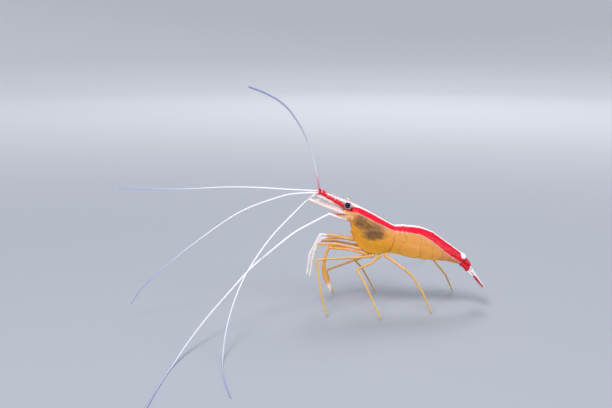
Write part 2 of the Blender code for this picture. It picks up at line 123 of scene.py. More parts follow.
# Markings: distance round the body from the middle of the back to each edge, by x.
WHITE_EDGE = ((13.6, 1.0), (18.3, 1.1), (25.1, 1.0), (32.5, 1.0), (37.9, 1.05), (40.4, 0.95), (45.0, 0.8))
RED_EDGE = ((13.6, 2.65), (15.4, 3.1), (19.9, 3.35), (23.5, 3.05), (25.1, 2.8), (28.0, 3.3),
            (32.5, 3.45), (36.4, 4.0), (39.2, 4.05), (41.6, 3.85), (45.0, 3.35))

ROSTRUM_LINE = ((18.4, 27.85), (17.6, 28.25), (15.4, 29.5), (13.4, 30.62), (10.6, 31.7), (5.6, 33.7))
ROSTRUM_DEPTH = ((18.4, 0.6), (15.4, 1.4), (12.6, 1.6), (10.0, 1.1), (7.0, 0.85), (5.6, 0.45))
TOOTH_STARTS = (16.8, 14.6, 12.9, 11.2, 9.4, 7.7)
LOWER_TOOTH_STARTS = (10.9, 9.3, 7.9)
LEG_ROWS = (1.25, 1.75, 2.35, 2.9, 3.4)     # where the legs grow, in carapace rows

# Front of the head: x, z and half width. Lumps on it: x, z, three radii and lean. Leaves beside the
# mouth: x, z, width and length of the bristles. Stems of the feelers: each segment's points, its two
# radii, its share of the stem and its sides. Spines: points and radii. Scale: its middle line.
HEAD_FRONT = ((13.65, 29.7, 0.45), (13.7, 28.9, 1.5), (13.8, 27.5, 1.95), (13.85, 26.0, 2.08),
              (13.9, 24.5, 2.12), (13.95, 23.0, 2.05), (14.05, 21.6, 1.75), (14.3, 20.4, 1.8),
              (14.9, 19.5, 1.8), (15.5, 18.9, 1.4))
HEAD_LUMPS = ((12.95, 29.25, 0.5, 1.0, 0.42, 0.0), (13.35, 27.0, 0.42, 1.0, 1.05, 0.1),
              (13.38, 25.15, 0.36, 0.78, 0.5, -0.2), (13.32, 24.25, 0.38, 0.52, 0.50, 0.3))
MOUTH_LEAVES = ((12.90, 22.75, 0.85, 1.3), (12.85, 22.2, 0.95, 1.15), (12.8, 21.65, 0.9, 1.0))
ANTENNULE_SEGMENTS = (
    (((13.0, 0.95, 28.1), (10.7, 1.2, 29.9), (8.3, 1.25, 31.45)), (0.62, 0.60), (0, 0.5), 20),
    (((8.2, 1.25, 31.5), (6.35, 1.25, 32.55)), (0.56, 0.58), (0.5, 0.75), 20),
    (((6.3, 1.25, 32.6), (4.55, 1.25, 33.75)), (0.54, 0.60), (0.75, 1), 20),
)
ANTENNA_SEGMENTS = (
    (((14.3, 0.85, 26.0), (13.1, 1.60, 26.4), (11.3, 2.75, 27.1)), (1.30, 1.10), (0, 0.35), 26),
    (((11.7, 2.75, 26.85), (9.9, 3.25, 27.40)), (0.98, 0.80), (0.35, 0.55), 22),
    (((13.7, 1.20, 27.3), (12.5, 2.05, 27.8), (10.9, 2.95, 28.5)), (0.95, 0.66), (0.1, 0.35), 22),
    (((10.4, 3.2, 27.15), (8.9, 3.55, 27.45), (7.0, 3.92, 28.15)), (0.88, 0.54), (0.55, 1), 20),
    (((7.1, 3.92, 28.15), (6.3, 4.12, 28.2)), (0.42, 0.34), (1, 1), 16),
)
ANTENNA_SPINES = (
    (((11.9, 3.1, 27.4), (11.1, 3.55, 27.65), (10.5, 3.75, 27.85)), (0.26, 0.15, 0.02)),
    (((11.9, 3.0, 26.3), (11.2, 3.4, 26.35), (10.6, 3.6, 26.5)), (0.24, 0.14, 0.02)),
)
SCALE_LINE = ((11.5, 3.05, 28.15), (8.4, 3.45, 29.50), (4.6, 3.65, 30.95), (0.9, 3.6, 32.5))

# A limb's joints from root to tip: x, y, z, radius.
LIMBS = {
    "maxilliped_left": (
        (13.3, -1.3, 20.2, 0.45), (8.6, -2.2, 21.5, 0.52), (4.1, -2.7, 22.0, 0.42),
        (1.1, -3.0, 16.1, 0.38), (0.2, -3.2, 10.1, 0.25)),
    "maxilliped_right": (
        (13.3, 1.3, 20.0, 0.45), (8.7, 1.7, 20.0, 0.50), (4.3, 1.5, 19.9, 0.42), (2.0, 1.2, 15.6, 0.38),
        (1.0, 0.6, 8.5, 0.25)),
    "cheliped_1_left": (
        (15.3, -2.4, 17.7, 0.42), (8.5, -3.4, 19.4, 0.38), (3.1, -3.9, 19.5, 0.36),
        (2.3, -3.9, 17.4, 0.42), (1.5, -3.8, 13.7, 0.26)),
    "cheliped_1_right": (
        (15.3, 2.4, 17.6, 0.42), (8.7, 2.9, 18.7, 0.38), (3.4, 2.8, 18.9, 0.36), (2.6, 2.4, 16.8, 0.42),
        (1.8, 2.1, 13.4, 0.26)),
    "cheliped_2_left": (
        (17.1, -2.5, 16.2, 0.40), (13.1, -3.6, 17.7, 0.36), (6.3, -4.9, 18.7, 0.34),
        (5.3, -5.1, 15.7, 0.34), (4.8, -5.2, 13.0, 0.36), (5.2, -5.3, 10.2, 0.34),
        (6.6, -5.5, 7.1, 0.22)),
    "cheliped_2_right": (
        (17.1, 2.5, 16.2, 0.40), (13.4, 2.9, 17.0, 0.36), (7.0, 2.9, 17.3, 0.34),
        (5.8, 2.5, 14.7, 0.34), (5.4, 2.0, 12.0, 0.36), (5.8, 1.6, 9.2, 0.34), (7.1, 1.2, 5.9, 0.22)),
    "walking_leg_3_left": (
        (19.2, -2.7, 15.7, 0.45), (14.6, -4.4, 15.7, 0.38), (2.9, -8.4, 16.0, 0.32),
        (3.8, -9.6, 9.6, 0.32), (4.5, -10.4, 5.0, 0.30), (5.9, -10.9, 0.0, 0.28)),
    "walking_leg_3_right": (
        (19.2, 2.7, 15.7, 0.45), (13.7, 5.0, 12.3, 0.38), (6.1, 8.5, 8.5, 0.32), (7.2, 10.0, 4.1, 0.32),
        (8.5, 11.0, 0.0, 0.28)),
    "walking_leg_4_left": (
        (21.0, -2.7, 15.6, 0.45), (18.7, -6.0, 14.5, 0.38), (14.2, -9.2, 13.4, 0.34),
        (16.3, -10.8, 10.0, 0.32), (19.0, -13.2, 4.3, 0.30), (20.9, -14.1, 0.0, 0.28)),
    "walking_leg_4_right": (
        (21.0, 2.7, 15.6, 0.45), (17.7, 6.0, 13.8, 0.38), (14.7, 9.5, 11.2, 0.34),
        (16.6, 10.6, 9.0, 0.32), (19.8, 13.0, 3.0, 0.30), (21.1, 14.0, 0.0, 0.28)),
    "walking_leg_5_left": (
        (22.8, -2.7, 15.7, 0.45), (27.9, -6.0, 12.6, 0.38), (30.1, -6.6, 10.7, 0.34),
        (32.8, -7.3, 6.6, 0.32), (35.7, -8.1, 0.0, 0.28)),
    "walking_leg_5_right": (
        (22.8, 2.7, 15.7, 0.45), (30.6, 6.4, 14.9, 0.38), (37.0, 9.5, 12.7, 0.34),
        (42.2, 12.5, 6.2, 0.32), (45.1, 15.8, 0.0, 0.28)),
}

# Feelers: each curve's own points, from the head to the tip. Three of them end on the floor.
FEELERS = {
    "antennule_outer_left": (
        (3.8, -1.5, 34.9), (2.7, -4.0, 41.0), (0.5, -7.8, 49.4), (-3.2, -13.2, 56.8),
        (-6.6, -17.4, 60.9), (-10.8, -22.4, 63.8), (-14.4, -27.0, 65.6)),
    "antennule_inner_left": (
        (3.4, -1.1, 33.7), (-2.0, -1.8, 33.7), (-7.6, -2.6, 32.8), (-19.1, -4.6, 28.6),
        (-31.8, -7.0, 20.1), (-39.6, -8.4, 13.9), (-45.4, -9.6, 8.9), (-49.1, -10.4, 3.8)),
    "antennule_outer_right": (
        (3.6, 1.5, 33.8), (-4.4, 2.0, 34.1), (-13.2, 2.4, 34.6), (-23.3, 2.8, 34.7), (-34.6, 3.0, 34.1),
        (-45.0, 3.2, 34.1), (-54.2, 3.4, 34.2)),
    "antennule_inner_right": (
        (3.8, 0.9, 33.1), (1.1, 0.2, 32.0), (-3.4, -3.2, 28.3), (-9.4, -10.0, 23.2),
        (-13.8, -17.6, 18.4), (-16.9, -24.6, 14.1), (-19.2, -31.6, 8.8), (-20.4, -38.6, 3.9),
        (-20.3, -48.2, 0.2), (-18.7, -60.2, 0.2), (-16.6, -70.0, 0.2)),
    "antenna_left": (
        (6.5, -4.1, 28.2), (2.7, -5.8, 26.6), (-3.3, -8.6, 23.8), (-9.3, -12.0, 19.7),
        (-15.0, -16.0, 15.6), (-20.5, -22.0, 10.6), (-25.6, -29.5, 6.1), (-29.8, -39.5, 2.3),
        (-32.4, -51.4, 0.2), (-33.6, -63.0, 0.2), (-34.4, -75.0, 0.2), (-34.6, -79.0, 0.2)),
    "antenna_right": (
        (6.5, 4.1, 28.4), (3.9, 6.3, 29.6), (3.4, 9.5, 29.7), (6.0, 14.2, 28.2), (14.0, 24.0, 22.0),
        (21.0, 32.0, 16.5), (30.0, 42.0, 9.6), (38.0, 51.0, 3.4), (43.0, 57.0, 0.2), (47.0, 62.0, 0.2)),
}

# Tail fan: each blade's root, tip and width, for the right-hand side.
TAIL_BLADES = {
    "uropod_inner": ((46.6, 0.95, 11.7), (51.2, 1.7, 6.2), 2.3),
    "uropod_outer": ((46.3, 1.35, 11.3), (50.9, 3.0, 6.2), 2.6),
}
UROPOD_BASE = ((44.6, 0.80, 12.9), (45.5, 1.00, 12.4), (46.6, 1.25, 11.35))


# ---- settings

def length(name, description, default):
    """A size that the panel shows in the scene's length unit."""
    return FloatProperty(name=name, description=description, default=default * MM, min=0.0,
                         unit="LENGTH", precision=5)


def colour(name, description, default):
    """A surface colour."""
    return FloatVectorProperty(name=name, description=description, default=default, size=3,
                               min=0.0, max=1.0, subtype="COLOR")


class ShellSettings(bpy.types.PropertyGroup):
    """Shell plates of the body."""
    lip: length("Plate overlap", "How far each plate reaches over the next one", 0.32)
    rim: length("Rim thickness", "Thickness of a plate's free edge", 0.16)
    keel: length("Keel height", "Height of the ridge behind the rostrum", 0.14)
    amber: colour("Amber", "Flank of the carapace", (0.76, 0.32, 0.015))
    orange: colour("Orange", "Flank of the abdomen", (0.80, 0.35, 0.075))
    gold: colour("Gold", "Lower edge of the plates", (0.84, 0.40, 0.03))
    red: colour("Red", "Band on each side of the stripe", (0.88, 0.002, 0.030))
    white: colour("White", "Stripe along the back", (0.87, 0.85, 0.86))
    lilac: colour("Lilac", "Thin line under the red band", (0.66, 0.36, 0.48))
    brown: colour("Brown", "Organs that show through the carapace", (0.13, 0.062, 0.025))


class EyeSettings(bpy.types.PropertyGroup):
    """Eyes."""
    radius: length("Radius", "Radius of an eye", 1.09)
    facet_depth: length("Facet depth", "How far each facet stands out", 0.012)
    facets: IntProperty(name="Facet fineness", description="Subdivisions of the facet grid",
                        default=5, min=3, max=6)
    black: colour("Cornea", "Colour of the facets", (0.004, 0.005, 0.018))
    ring: colour("Ring", "Colour of the ring round the cornea", (0.52, 0.45, 0.66))


class LimbSettings(bpy.types.PropertyGroup):
    """Legs, claws and mouth limbs."""
    tan: colour("Tan", "Upper part of the legs", (0.76, 0.40, 0.09))
    orange: colour("Orange", "Second pair of claws", (0.86, 0.36, 0.03))
    gold: colour("Gold", "Lower part of the legs", (0.74, 0.44, 0.075))
    white: colour("White", "Far part of the maxillipeds", (0.90, 0.90, 0.93))
    flesh: colour("Flesh", "Head front and mouthparts", (0.72, 0.30, 0.14))


class FeelerSettings(bpy.types.PropertyGroup):
    """Feelers."""
    ring: length("Ring length", "Length of each ring of a feeler", 0.42)
    root: length("Root radius", "Radius of a feeler at the head", 0.29)
    tip: length("Tip radius", "Radius of a feeler at its end", 0.13)
    relief: FloatProperty(name="Ring relief", description="How much each ring flares", default=0.09,
                          min=0.0, max=1.0, subtype="FACTOR")
    red: colour("Red", "Base of a feeler", (0.75, 0.02, 0.04))
    white: colour("White", "Main length of a feeler", (0.88, 0.88, 0.92))


class TailSettings(bpy.types.PropertyGroup):
    """Tail fan."""
    thickness: length("Thickness", "Thickness of a blade along its rib", 0.34)
    red: colour("Red", "Main colour of the fan", (0.72, 0.002, 0.018))
    white: colour("White", "Patches on the fan", (0.93, 0.91, 0.92))


class BristleSettings(bpy.types.PropertyGroup):
    """Fringes and brushes of fine bristles."""
    radius: length("Radius", "Radius of a bristle at its root", 0.028)
    bend: FloatProperty(name="Bend", description="How far a bristle's tip leans, in root radii",
                        default=4.0, min=0.0)
    seed: IntProperty(name="Seed", description="Seed of the bristles' small variations", default=7)
    pale: colour("Colour", "Colour of the bristles", (0.80, 0.66, 0.50))


class StageSettings(bpy.types.PropertyGroup):
    """Floor, lights and camera."""
    floor: colour("Floor", "Colour of the floor under the animal", (0.36, 0.38, 0.43))
    wall: colour("Wall", "Colour of the floor's far rim", (0.84, 0.86, 0.90))
    distance: length("Camera distance", "From the camera to the animal", 280.0)
    elevation: FloatProperty(name="Elevation", description="Camera above the horizon",
                             default=radians(11), subtype="ANGLE")
    field: length("Field width", "Width of the view at the animal", 174.857)
    aim_height: length("Aim height", "Height of the point that the camera looks at", 30.3014)


SETTINGS = {"shrimp_shell": ShellSettings, "shrimp_eyes": EyeSettings, "shrimp_limbs": LimbSettings,
            "shrimp_feelers": FeelerSettings, "shrimp_tail": TailSettings,
            "shrimp_bristles": BristleSettings, "shrimp_stage": StageSettings}


# ---- numbers

def point(place):
    """A place in the animal's own frame as metres in the row's frame."""
    return ORIGIN + Vector(place) * MM


def mirrored(place, sign):
    """A right-hand place moved to the side that sign gives."""
    return Vector((place[0], sign * place[1], place[2]))


def ease(low, high, x):
    """0 below low, 1 above high and smooth between them."""
    t = min(1.0, max(0.0, (x - low) / (high - low)))
    return t * t * (3 - 2 * t)


def hump(x, centre, width):
    """A bell curve of height 1."""
    return exp(-((x - centre) / width) ** 2)


def table_value(table, x):
    """The value at x in a table of (x, value) pairs, with x rising or falling."""
    pairs = table if table[0][0] < table[-1][0] else tuple(reversed(table))
    if x <= pairs[0][0]:
        return pairs[0][1]
    for (x0, v0), (x1, v1) in zip(pairs, pairs[1:]):
        if x <= x1:
            return v0 + (v1 - v0) * (x - x0) / (x1 - x0)
    return pairs[-1][1]


def between(values, q):
    """The value at q in a list, where q counts from entry to entry."""
    k = min(int(q), len(values) - 2)
    return values[k] + (values[k + 1] - values[k]) * (q - k)


def distances(points):
    """Each point's distance from the first one along the line through them."""
    run = [0.0]
    for here, there in zip(points, points[1:]):
        run.append(run[-1] + (there - here).length)
    return run


def spline(points, u):
    """The point at u on a smooth curve through points, where u counts from point to point."""
    last = len(points) - 1
    i = min(max(int(u), 0), last - 1)
    t = u - i
    here, there = Vector(points[i]), Vector(points[i + 1])
    before = Vector(points[i - 1]) if i > 0 else 2 * here - there
    after = Vector(points[i + 2]) if i + 2 <= last else 2 * there - here
    return (here * 2 + (there - before) * t + (before * 2 - here * 5 + there * 4 - after) * t ** 2
            + (here * 3 - before - there * 3 + after) * t ** 3) / 2


# ---- meshes

def placed(name, data):
    """A new object in the scene."""
    made = bpy.data.objects.new(name, data)
    bpy.context.scene.collection.objects.link(made)
    return made


def closed(mesh):
    """Fill a mesh's open border and turn its faces outwards."""
    bm = bmesh.new()
    bm.from_mesh(mesh)
    border = [edge for edge in bm.edges if edge.is_boundary]
    if border:
        bmesh.ops.edgeloop_fill(bm, edges=border)
    bmesh.ops.recalc_face_normals(bm, faces=bm.faces)
    bm.to_mesh(mesh)
    bm.free()
    return mesh


class Skin:
    """Points, pattern values, faces and finishes of one piece, gathered part by part."""

    def __init__(self):
        self.points, self.pattern, self.faces, self.finish = [], [], [], []

    def loft(self, rings, pattern, finish=0, end_finish=None):
        """A closed skin over equal rings, with a pole in the middle of each end."""
        start, count = len(self.points), len(rings[0])
        for ring, values in zip(rings, pattern):
            self.points += ring
            self.pattern += values if isinstance(values, list) else [values] * count
        for k in range(len(rings) - 1):
            here = start + k * count
            for i in range(count):
                j = (i + 1) % count
                self.add_face((here + i, here + j, here + count + j, here + count + i), finish)
        for here in (start, start + (len(rings) - 1) * count):
            pole = len(self.points)
            self.points.append(sum((Vector(p) for p in self.points[here:here + count]), Vector()) / count)
            self.pattern.append(self.pattern[here])
            for i in range(count):
                face = (here + i, here + (i + 1) % count, pole)
                self.add_face(face, finish if end_finish is None else end_finish)

    def add_face(self, face, finish):
        """One face with its finish's number."""
        self.faces.append(face)
        self.finish.append(finish)

    def piece(self, name, finishes, nodes, slot):
        """The piece made of this skin, with its pattern kept as an attribute."""
        mesh = bpy.data.meshes.new(name)
        mesh.from_pydata([point(p) for p in self.points], [], self.faces)
        pattern = mesh.attributes.new("pattern", "FLOAT_VECTOR", "POINT")
        pattern.data.foreach_set("vector", [value for values in self.pattern for value in values])
        mesh.polygons.foreach_set("material_index", self.finish)
        closed(mesh).shade_smooth()
        mesh.set_sharp_from_angle(angle=radians(SHARP_ANGLE))
        for finish in finishes:
            mesh.materials.append(finish)
        return finished_piece(name, mesh, nodes)


def finished_piece(name, mesh, nodes):
    """Put a mesh that is already in the row's frame on the body, in place of its nodes."""
    made = placed(name, mesh)
    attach(made, "root")
    if nodes:
        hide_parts(*nodes)
    return made


def turns(count):
    """Equal steps of a full turn."""
    return [2 * pi * k / count for k in range(count)]


def ring_round(spot, ahead, across, radius, sides, flat=1.0, deep=1.0):
    """A ring at spot, across the direction ahead. flat squeezes it along across, deep the other way."""
    other = ahead.cross(across)
    return [spot + (across * cos(a) * flat + other * sin(a) * deep) * radius for a in turns(sides)]


def tube_rings(path, radii, sides, flat=1.0, hint=Y_AXIS, deep=1.0):
    """Rings across a path. hint gives the direction that flat squeezes."""
    rings = []
    across = hint
    for i, (spot, radius) in enumerate(zip(path, radii)):
        ahead = (path[min(i + 1, len(path) - 1)] - path[max(i - 1, 0)]).normalized()
        across = (across - ahead * across.dot(ahead)).normalized()
        rings.append(ring_round(spot, ahead, across, radius, sides, flat, deep))
    return rings


def horn(skin, path, radii, pattern, sides=8, finish=0, flat=1.0, tip_pattern=None, deep=1.0):
    """A tapering solid along a smooth curve through path, for spines, fingers and claws."""
    steps = 4 * (len(path) - 1)
    curve = [spline(path, (len(path) - 1) * k / steps) for k in range(steps + 1)]
    last, knots = len(radii) - 1, [(r, 0, 0) for r in radii]
    widths = [spline(knots, last * k / steps).x for k in range(steps + 1)]
    hint = Y_AXIS if abs((curve[-1] - curve[0]).normalized().y) < 0.8 else Vector((0, 0, 1))
    tip = Vector(pattern if tip_pattern is None else tip_pattern)
    patterns = [tuple(Vector(pattern).lerp(tip, k / steps)) for k in range(steps + 1)]
    radii = [max(width, THINNEST) for width in widths]
    skin.loft(tube_rings(curve, radii, sides, flat, hint, deep), patterns, finish)


# ---- node helpers

class Wire:
    """One output of a node. It takes part in sums, and wire[key] is another output of its node."""

    def __init__(self, node, key=0):
        self.node, self.tree, self.socket = node, node.id_data, node.outputs[key]

    def __getitem__(self, key):
        return Wire(self.node, key)

    def __add__(self, other):
        return calc("ADD", self, other)

    def __radd__(self, other):
        return calc("ADD", other, self)

    def __sub__(self, other):
        return calc("SUBTRACT", self, other)

    def __mul__(self, other):
        return calc("MULTIPLY", self, other)

    def __truediv__(self, other):
        return calc("DIVIDE", self, other)

    def __rtruediv__(self, other):
        return calc("DIVIDE", other, self)

    def ramp(self, low, high, out_low=0.0, out_high=1.0):
        """This value mapped smoothly from low..high to out_low..out_high."""
        sockets = dict(enumerate((self, low, high, out_low, out_high)))
        return add_node(self.tree, "ShaderNodeMapRange", sockets, interpolation_type="SMOOTHSTEP")

    def link(self, socket):
        """Link this output to another node's socket."""
        self.tree.links.new(self.socket, socket)


def add_node(tree, kind, sockets=None, key=0, **settings):
    """A node's output. Its settings come first, then its sockets are set to values or linked."""
    made = tree.nodes.new(kind)
    for name, value in settings.items():
        setattr(made, name, value)
    for name, value in (sockets or {}).items():
        if isinstance(value, Wire):
            value.link(made.inputs[name])
        else:
            made.inputs[name].default_value = value
    return Wire(made, key)


def calc(operation, first, second=0.0, clamp=False):
    """The result of a Math node."""
    tree = (first if isinstance(first, Wire) else second).tree
    return add_node(tree, "ShaderNodeMath", {0: first, 1: second}, operation=operation, use_clamp=clamp)


def vector_calc(operation, first, second=(0.0, 0.0, 0.0)):
    """The result of a Vector Math node: a vector, or a number for a length or a dot product."""
    key = "Value" if operation in ("LENGTH", "DOT_PRODUCT") else "Vector"
    return add_node(first.tree, "ShaderNodeVectorMath", {0: first, 1: second}, key, operation=operation)


def split(vector):
    """The three parts of a vector."""
    parts = add_node(vector.tree, "ShaderNodeSeparateXYZ", {0: vector})
    return [parts[k] for k in range(3)]


def join(*parts):
    """A vector made of its first parts. The others are 0."""
    return add_node(parts[0].tree, "ShaderNodeCombineXYZ", dict(enumerate(parts)))


def blend(amount, first, second):
    """A mix of two colours."""
    tree = next(value.tree for value in (amount, first) if isinstance(value, Wire))
    first, second = (paint if isinstance(paint, Wire) else (*paint, 1) for paint in (first, second))
    return add_node(tree, "ShaderNodeMix", {0: amount, 6: first, 7: second}, 2, data_type="RGBA")


def layered(base, *coats):
    """A colour under coats, each given as (amount, colour)."""
    for amount, paint in coats:
        base = blend(amount, base, paint)
    return base


SOCKET_TYPES = {float: "Float", int: "Int", tuple: "Vector"}


def new_group(name, kind, inputs, outputs):
    """An empty node group. Gives back its input and its output node.

    inputs hold each socket's default value, or the type of a socket that keeps none.
    """
    tree = bpy.data.node_groups.new(name, kind)
    for way, sockets in (("INPUT", inputs), ("OUTPUT", outputs)):
        for title, value in sockets.items():
            named = isinstance(value, str)
            holds = value if named else SOCKET_TYPES[type(value)]
            socket = tree.interface.new_socket(title, in_out=way, socket_type="NodeSocket" + holds)
            if not named:
                socket.default_value = value
    return Wire(tree.nodes.new("NodeGroupInput")), tree.nodes.new("NodeGroupOutput")


# ---- shared surface effects

def shared(name, build):
    """A node group that is built once and found again after that."""
    return bpy.data.node_groups.get(name) or build(name)


def build_mottle(name):
    """Soft patches from 0 to 1."""
    inputs = {"Vector": "Vector", "Size": 1.0, "Low": 0.4, "High": 0.6}
    given, out = new_group(name, "ShaderNodeTree", inputs, {"Amount": "Float"})
    cloud = add_node(given.tree, "ShaderNodeTexNoise", {
        "Vector": given["Vector"], "Scale": 1.0 / given["Size"], "Detail": 4.0})
    cloud.ramp(given["Low"], given["High"]).link(out.inputs[0])
    return given.tree


def build_specks(name):
    """Small pigment spots: 1 inside a spot, 0 outside. Each cell's spot has its own size."""
    inputs = {"Vector": "Vector", "Spacing": 0.5, "Size": 0.25}
    given, out = new_group(name, "ShaderNodeTree", inputs, {"Amount": "Float"})
    cells = add_node(given.tree, "ShaderNodeTexVoronoi", {
        "Vector": given["Vector"], "Scale": 1.0 / given["Spacing"]})
    dice = add_node(given.tree, "ShaderNodeSeparateColor", {0: cells["Color"]})
    (given["Size"] * dice - cells["Distance"]).ramp(0.0, 0.06).link(out.inputs[0])
    return given.tree


def build_cuticle(name):
    """Fine pits and waves of a shell's surface, as a height and a roughness."""
    inputs = {"Vector": "Vector", "Grain": 0.2, "Roughness": 0.3}
    given, out = new_group(name, "ShaderNodeTree", inputs, {"Height": "Float", "Roughness": "Float"})
    pits = add_node(given.tree, "ShaderNodeTexVoronoi", {
        "Vector": given["Vector"], "Scale": 1.0 / given["Grain"]}, "Distance")
    waves = add_node(given.tree, "ShaderNodeTexNoise", {
        "Vector": given["Vector"], "Scale": 1.3, "Detail": 5.0})
    (pits.ramp(0.0, 0.35) * 0.35 + waves).link(out.inputs[0])
    calc("ADD", given["Roughness"], (waves - 0.5) * 0.35, clamp=True).link(out.inputs[1])
    return given.tree


def build_patch(name):
    """A soft oval patch, the same on both sides of the body: 1 in its middle, 0 outside."""
    inputs = {"Vector": "Vector", "Centre": (0.0, 0.0, 0.0), "Size": (1.0, 1.0, 1.0), "Ragged": 0.4}
    given, out = new_group(name, "ShaderNodeTree", inputs, {"Amount": "Float"})
    away = vector_calc("SUBTRACT", given["Vector"], given["Centre"])
    scaled = vector_calc("DIVIDE", away, given["Size"])
    far = vector_calc("LENGTH", vector_calc("MULTIPLY", scaled, (1.0, 0.0, 1.0)))
    cloud = add_node(given.tree, "ShaderNodeTexNoise", {
        "Vector": given["Vector"], "Scale": 1.1, "Detail": 5.0})
    (far + (cloud - 0.5) * given["Ragged"] * 3.0).ramp(1.15, 0.35).link(out.inputs[0])
    return given.tree


# ---- finishes

class Finish:
    """A material being made, with the coordinates and the pattern that its nodes read."""

    def __init__(self, name, ior=1.5, coat=(), glow=(), **surface):
        """coat is the clear coat's weight and roughness, glow the subsurface weight and scale."""
        self.material = bpy.data.materials.new(name)
        self.material.use_nodes = True
        self.tree = self.material.node_tree
        self.shader = self.tree.nodes["Principled BSDF"].inputs
        surface.update(zip(("IOR", "Coat Weight", "Coat Roughness"), (ior, *coat)))
        surface.update(zip(("Subsurface Weight", "Subsurface Scale"), glow))
        for socket, value in surface.items():
            self.shader[socket.replace("_", " ")].default_value = value
        place = add_node(self.tree, "ShaderNodeTexCoord", key="Object")
        self.place = self.mapped(place, Location=tuple(-ORIGIN / MM), Scale=(1 / MM,) * 3)
        self.pattern = split(self.attribute("pattern", "Vector"))
        self.x, _, self.z = split(self.place)

    def mapped(self, place, **change):
        """Coordinates that are moved, turned or scaled."""
        return add_node(self.tree, "ShaderNodeMapping", {"Vector": place, **change})

    def attribute(self, name, key):
        """A value that the mesh carries."""
        return add_node(self.tree, "ShaderNodeAttribute", key=key, attribute_name=name)

    def effect(self, name, build, **sockets):
        """A shared effect placed in this material."""
        return add_node(self.tree, "ShaderNodeGroup", {"Vector": self.place, **sockets},
                        node_tree=shared(name, build))

    def mottle(self, size, low=0.4, high=0.6):
        """Soft patches of about the given size in millimetres."""
        return self.effect("mottle", build_mottle, Size=size, Low=low, High=high)

    def specks(self, spacing, size):
        """Pigment spots about spacing millimetres apart."""
        return self.effect("pigment specks", build_specks, Spacing=spacing, Size=size)

    def streaks(self, size):
        """Patches drawn out along the slope of the back."""
        turned = self.mapped(self.place, Rotation=(0.0, radians(-30), 0.0))
        drawn = self.mapped(turned, Scale=(0.22, 1.0, 1.0))
        return self.effect("mottle", build_mottle, Vector=drawn, Size=size, Low=0.36, High=0.66)

    def patch(self, centre, size, ragged):
        """A soft oval patch at a place on the flank."""
        return self.effect("flank patch", build_patch, Centre=centre, Size=size, Ragged=ragged)

    def paint(self, result, grain=0.0, roughness=0.3, depth=0.02):
        """Link the colour and, for a grain above 0, the fine relief. Gives back the material."""
        result.link(self.shader["Base Color"])
        if grain:
            relief = self.effect("cuticle", build_cuticle, Grain=grain, Roughness=roughness)
            bump = add_node(self.tree, "ShaderNodeBump", {
                "Height": relief["Height"], "Strength": 0.5, "Distance": depth * MM})
            bump.link(self.shader["Normal"])
            relief["Roughness"].link(self.shader["Roughness"])
        return self.material


def banded_shell(name, settings):
    """Carapace and abdomen: white stripe, red band, thin lilac line and an amber flank."""
    made = Finish(name, 1.36, (0.10, 0.2), (0.18, 0.7 * MM))
    from_white, from_red, height = made.pattern
    wobble = (made.mottle(0.7, 0.2, 0.8) - 0.5) * 0.22
    flank = layered(
        settings.amber,
        (made.x.ramp(21.0, 31.0), settings.orange),
        (made.mottle(1.6, 0.35, 0.7) * 0.45, settings.gold),
        (height.ramp(0.22, 0.0, 0.0, 0.75), settings.gold),
        # Painted shade: a duller, darker tint over the upper flank that evens out the stronger light
        # falling there from above.
        (height.ramp(0.26, 0.62, 0.0, 0.45), (0.62, 0.27, 0.11)),
        (made.x.ramp(35.0, 44.5, 0.0, 0.65), (0.60, 0.19, 0.10)))
    streaks = made.streaks(0.55)
    veil = blend(streaks, (0.14, 0.066, 0.020), (0.27, 0.145, 0.072))
    veiled = calc("MAXIMUM", made.patch((15.6, 0.0, 26.0), (2.9, 1.0, 2.6), 0.22),
                  made.patch((18.9, 0.0, 23.6), (4.3, 1.0, 3.0), 0.22))
    organs = calc("MAXIMUM", made.patch((19.6, 0.0, 21.9), (3.9, 1.0, 1.6), 0.28),
                  made.patch((16.4, 0.0, 24.6), (2.6, 1.0, 1.2), 0.3) * 0.55)
    below = from_red + wobble
    line = below.ramp(0.0, 0.12) * below.ramp(0.50, 0.20)
    flank = layered(
        flank,
        (veiled * 0.84, veil),
        (organs * streaks.ramp(0.0, 1.0, 0.92, 0.70), settings.brown),
        (made.specks(0.36, 0.24) * 0.34, (0.50, 0.09, 0.02)),
        (made.specks(1.5, 0.11) * 0.55, (0.16, 0.06, 0.04)),
        (line * (0.30 + made.mottle(1.1) * 0.4), settings.lilac))
    red = layered(
        settings.red,
        (made.mottle(0.5, 0.42, 0.62) * made.x.ramp(14.0, 44.0, 0.15, 0.75), (0.42, 0.0, 0.012)),
        (made.specks(0.45, 0.3) * 0.4, (0.85, 0.03, 0.12)))
    body = blend(below.ramp(-0.08, 0.08), red, flank)
    stripe = from_white + wobble * 0.5 - made.x.ramp(44.3, 44.75, 0.0, 1.35)
    return made.paint(blend(stripe.ramp(-0.06, 0.06), settings.white, body), 0.16, 0.32, 0.016)


def plain_finish(name, base, second, size=0.8, roughness=0.38, depth=0.03, specks=0.0, glow=()):
    """A softly mottled surface of two colours with fine relief."""
    made = Finish(name, 1.45, glow=glow)
    result = blend(made.mottle(size, 0.35, 0.65), base, second)
    if specks:
        result = blend(made.specks(0.45, 0.32) * specks, result, (0.55, 0.04, 0.02))
    return made.paint(result, 0.14, roughness, depth)


def limb_finish(name, root, tip, change, specks):
    """A jointed limb whose colour changes from root to tip and is paler at its joints."""
    made = Finish(name, 1.38, (0.12, 0.2), (0.25, 0.35 * MM))
    along, local, _ = made.pattern
    base = blend(along.ramp(*change), root, tip)
    pale = blend(0.45, base, (0.88, 0.74, 0.55))
    joint = calc("MAXIMUM", local.ramp(0.10, 0.02), local.ramp(0.93, 0.99))
    base = layered(base, (made.mottle(0.5) * 0.35, pale), (joint * 0.55, pale),
                   (made.specks(0.4, 0.3) * specks, (0.55, 0.06, 0.02)))
    return made.paint(base, 0.1, 0.34)


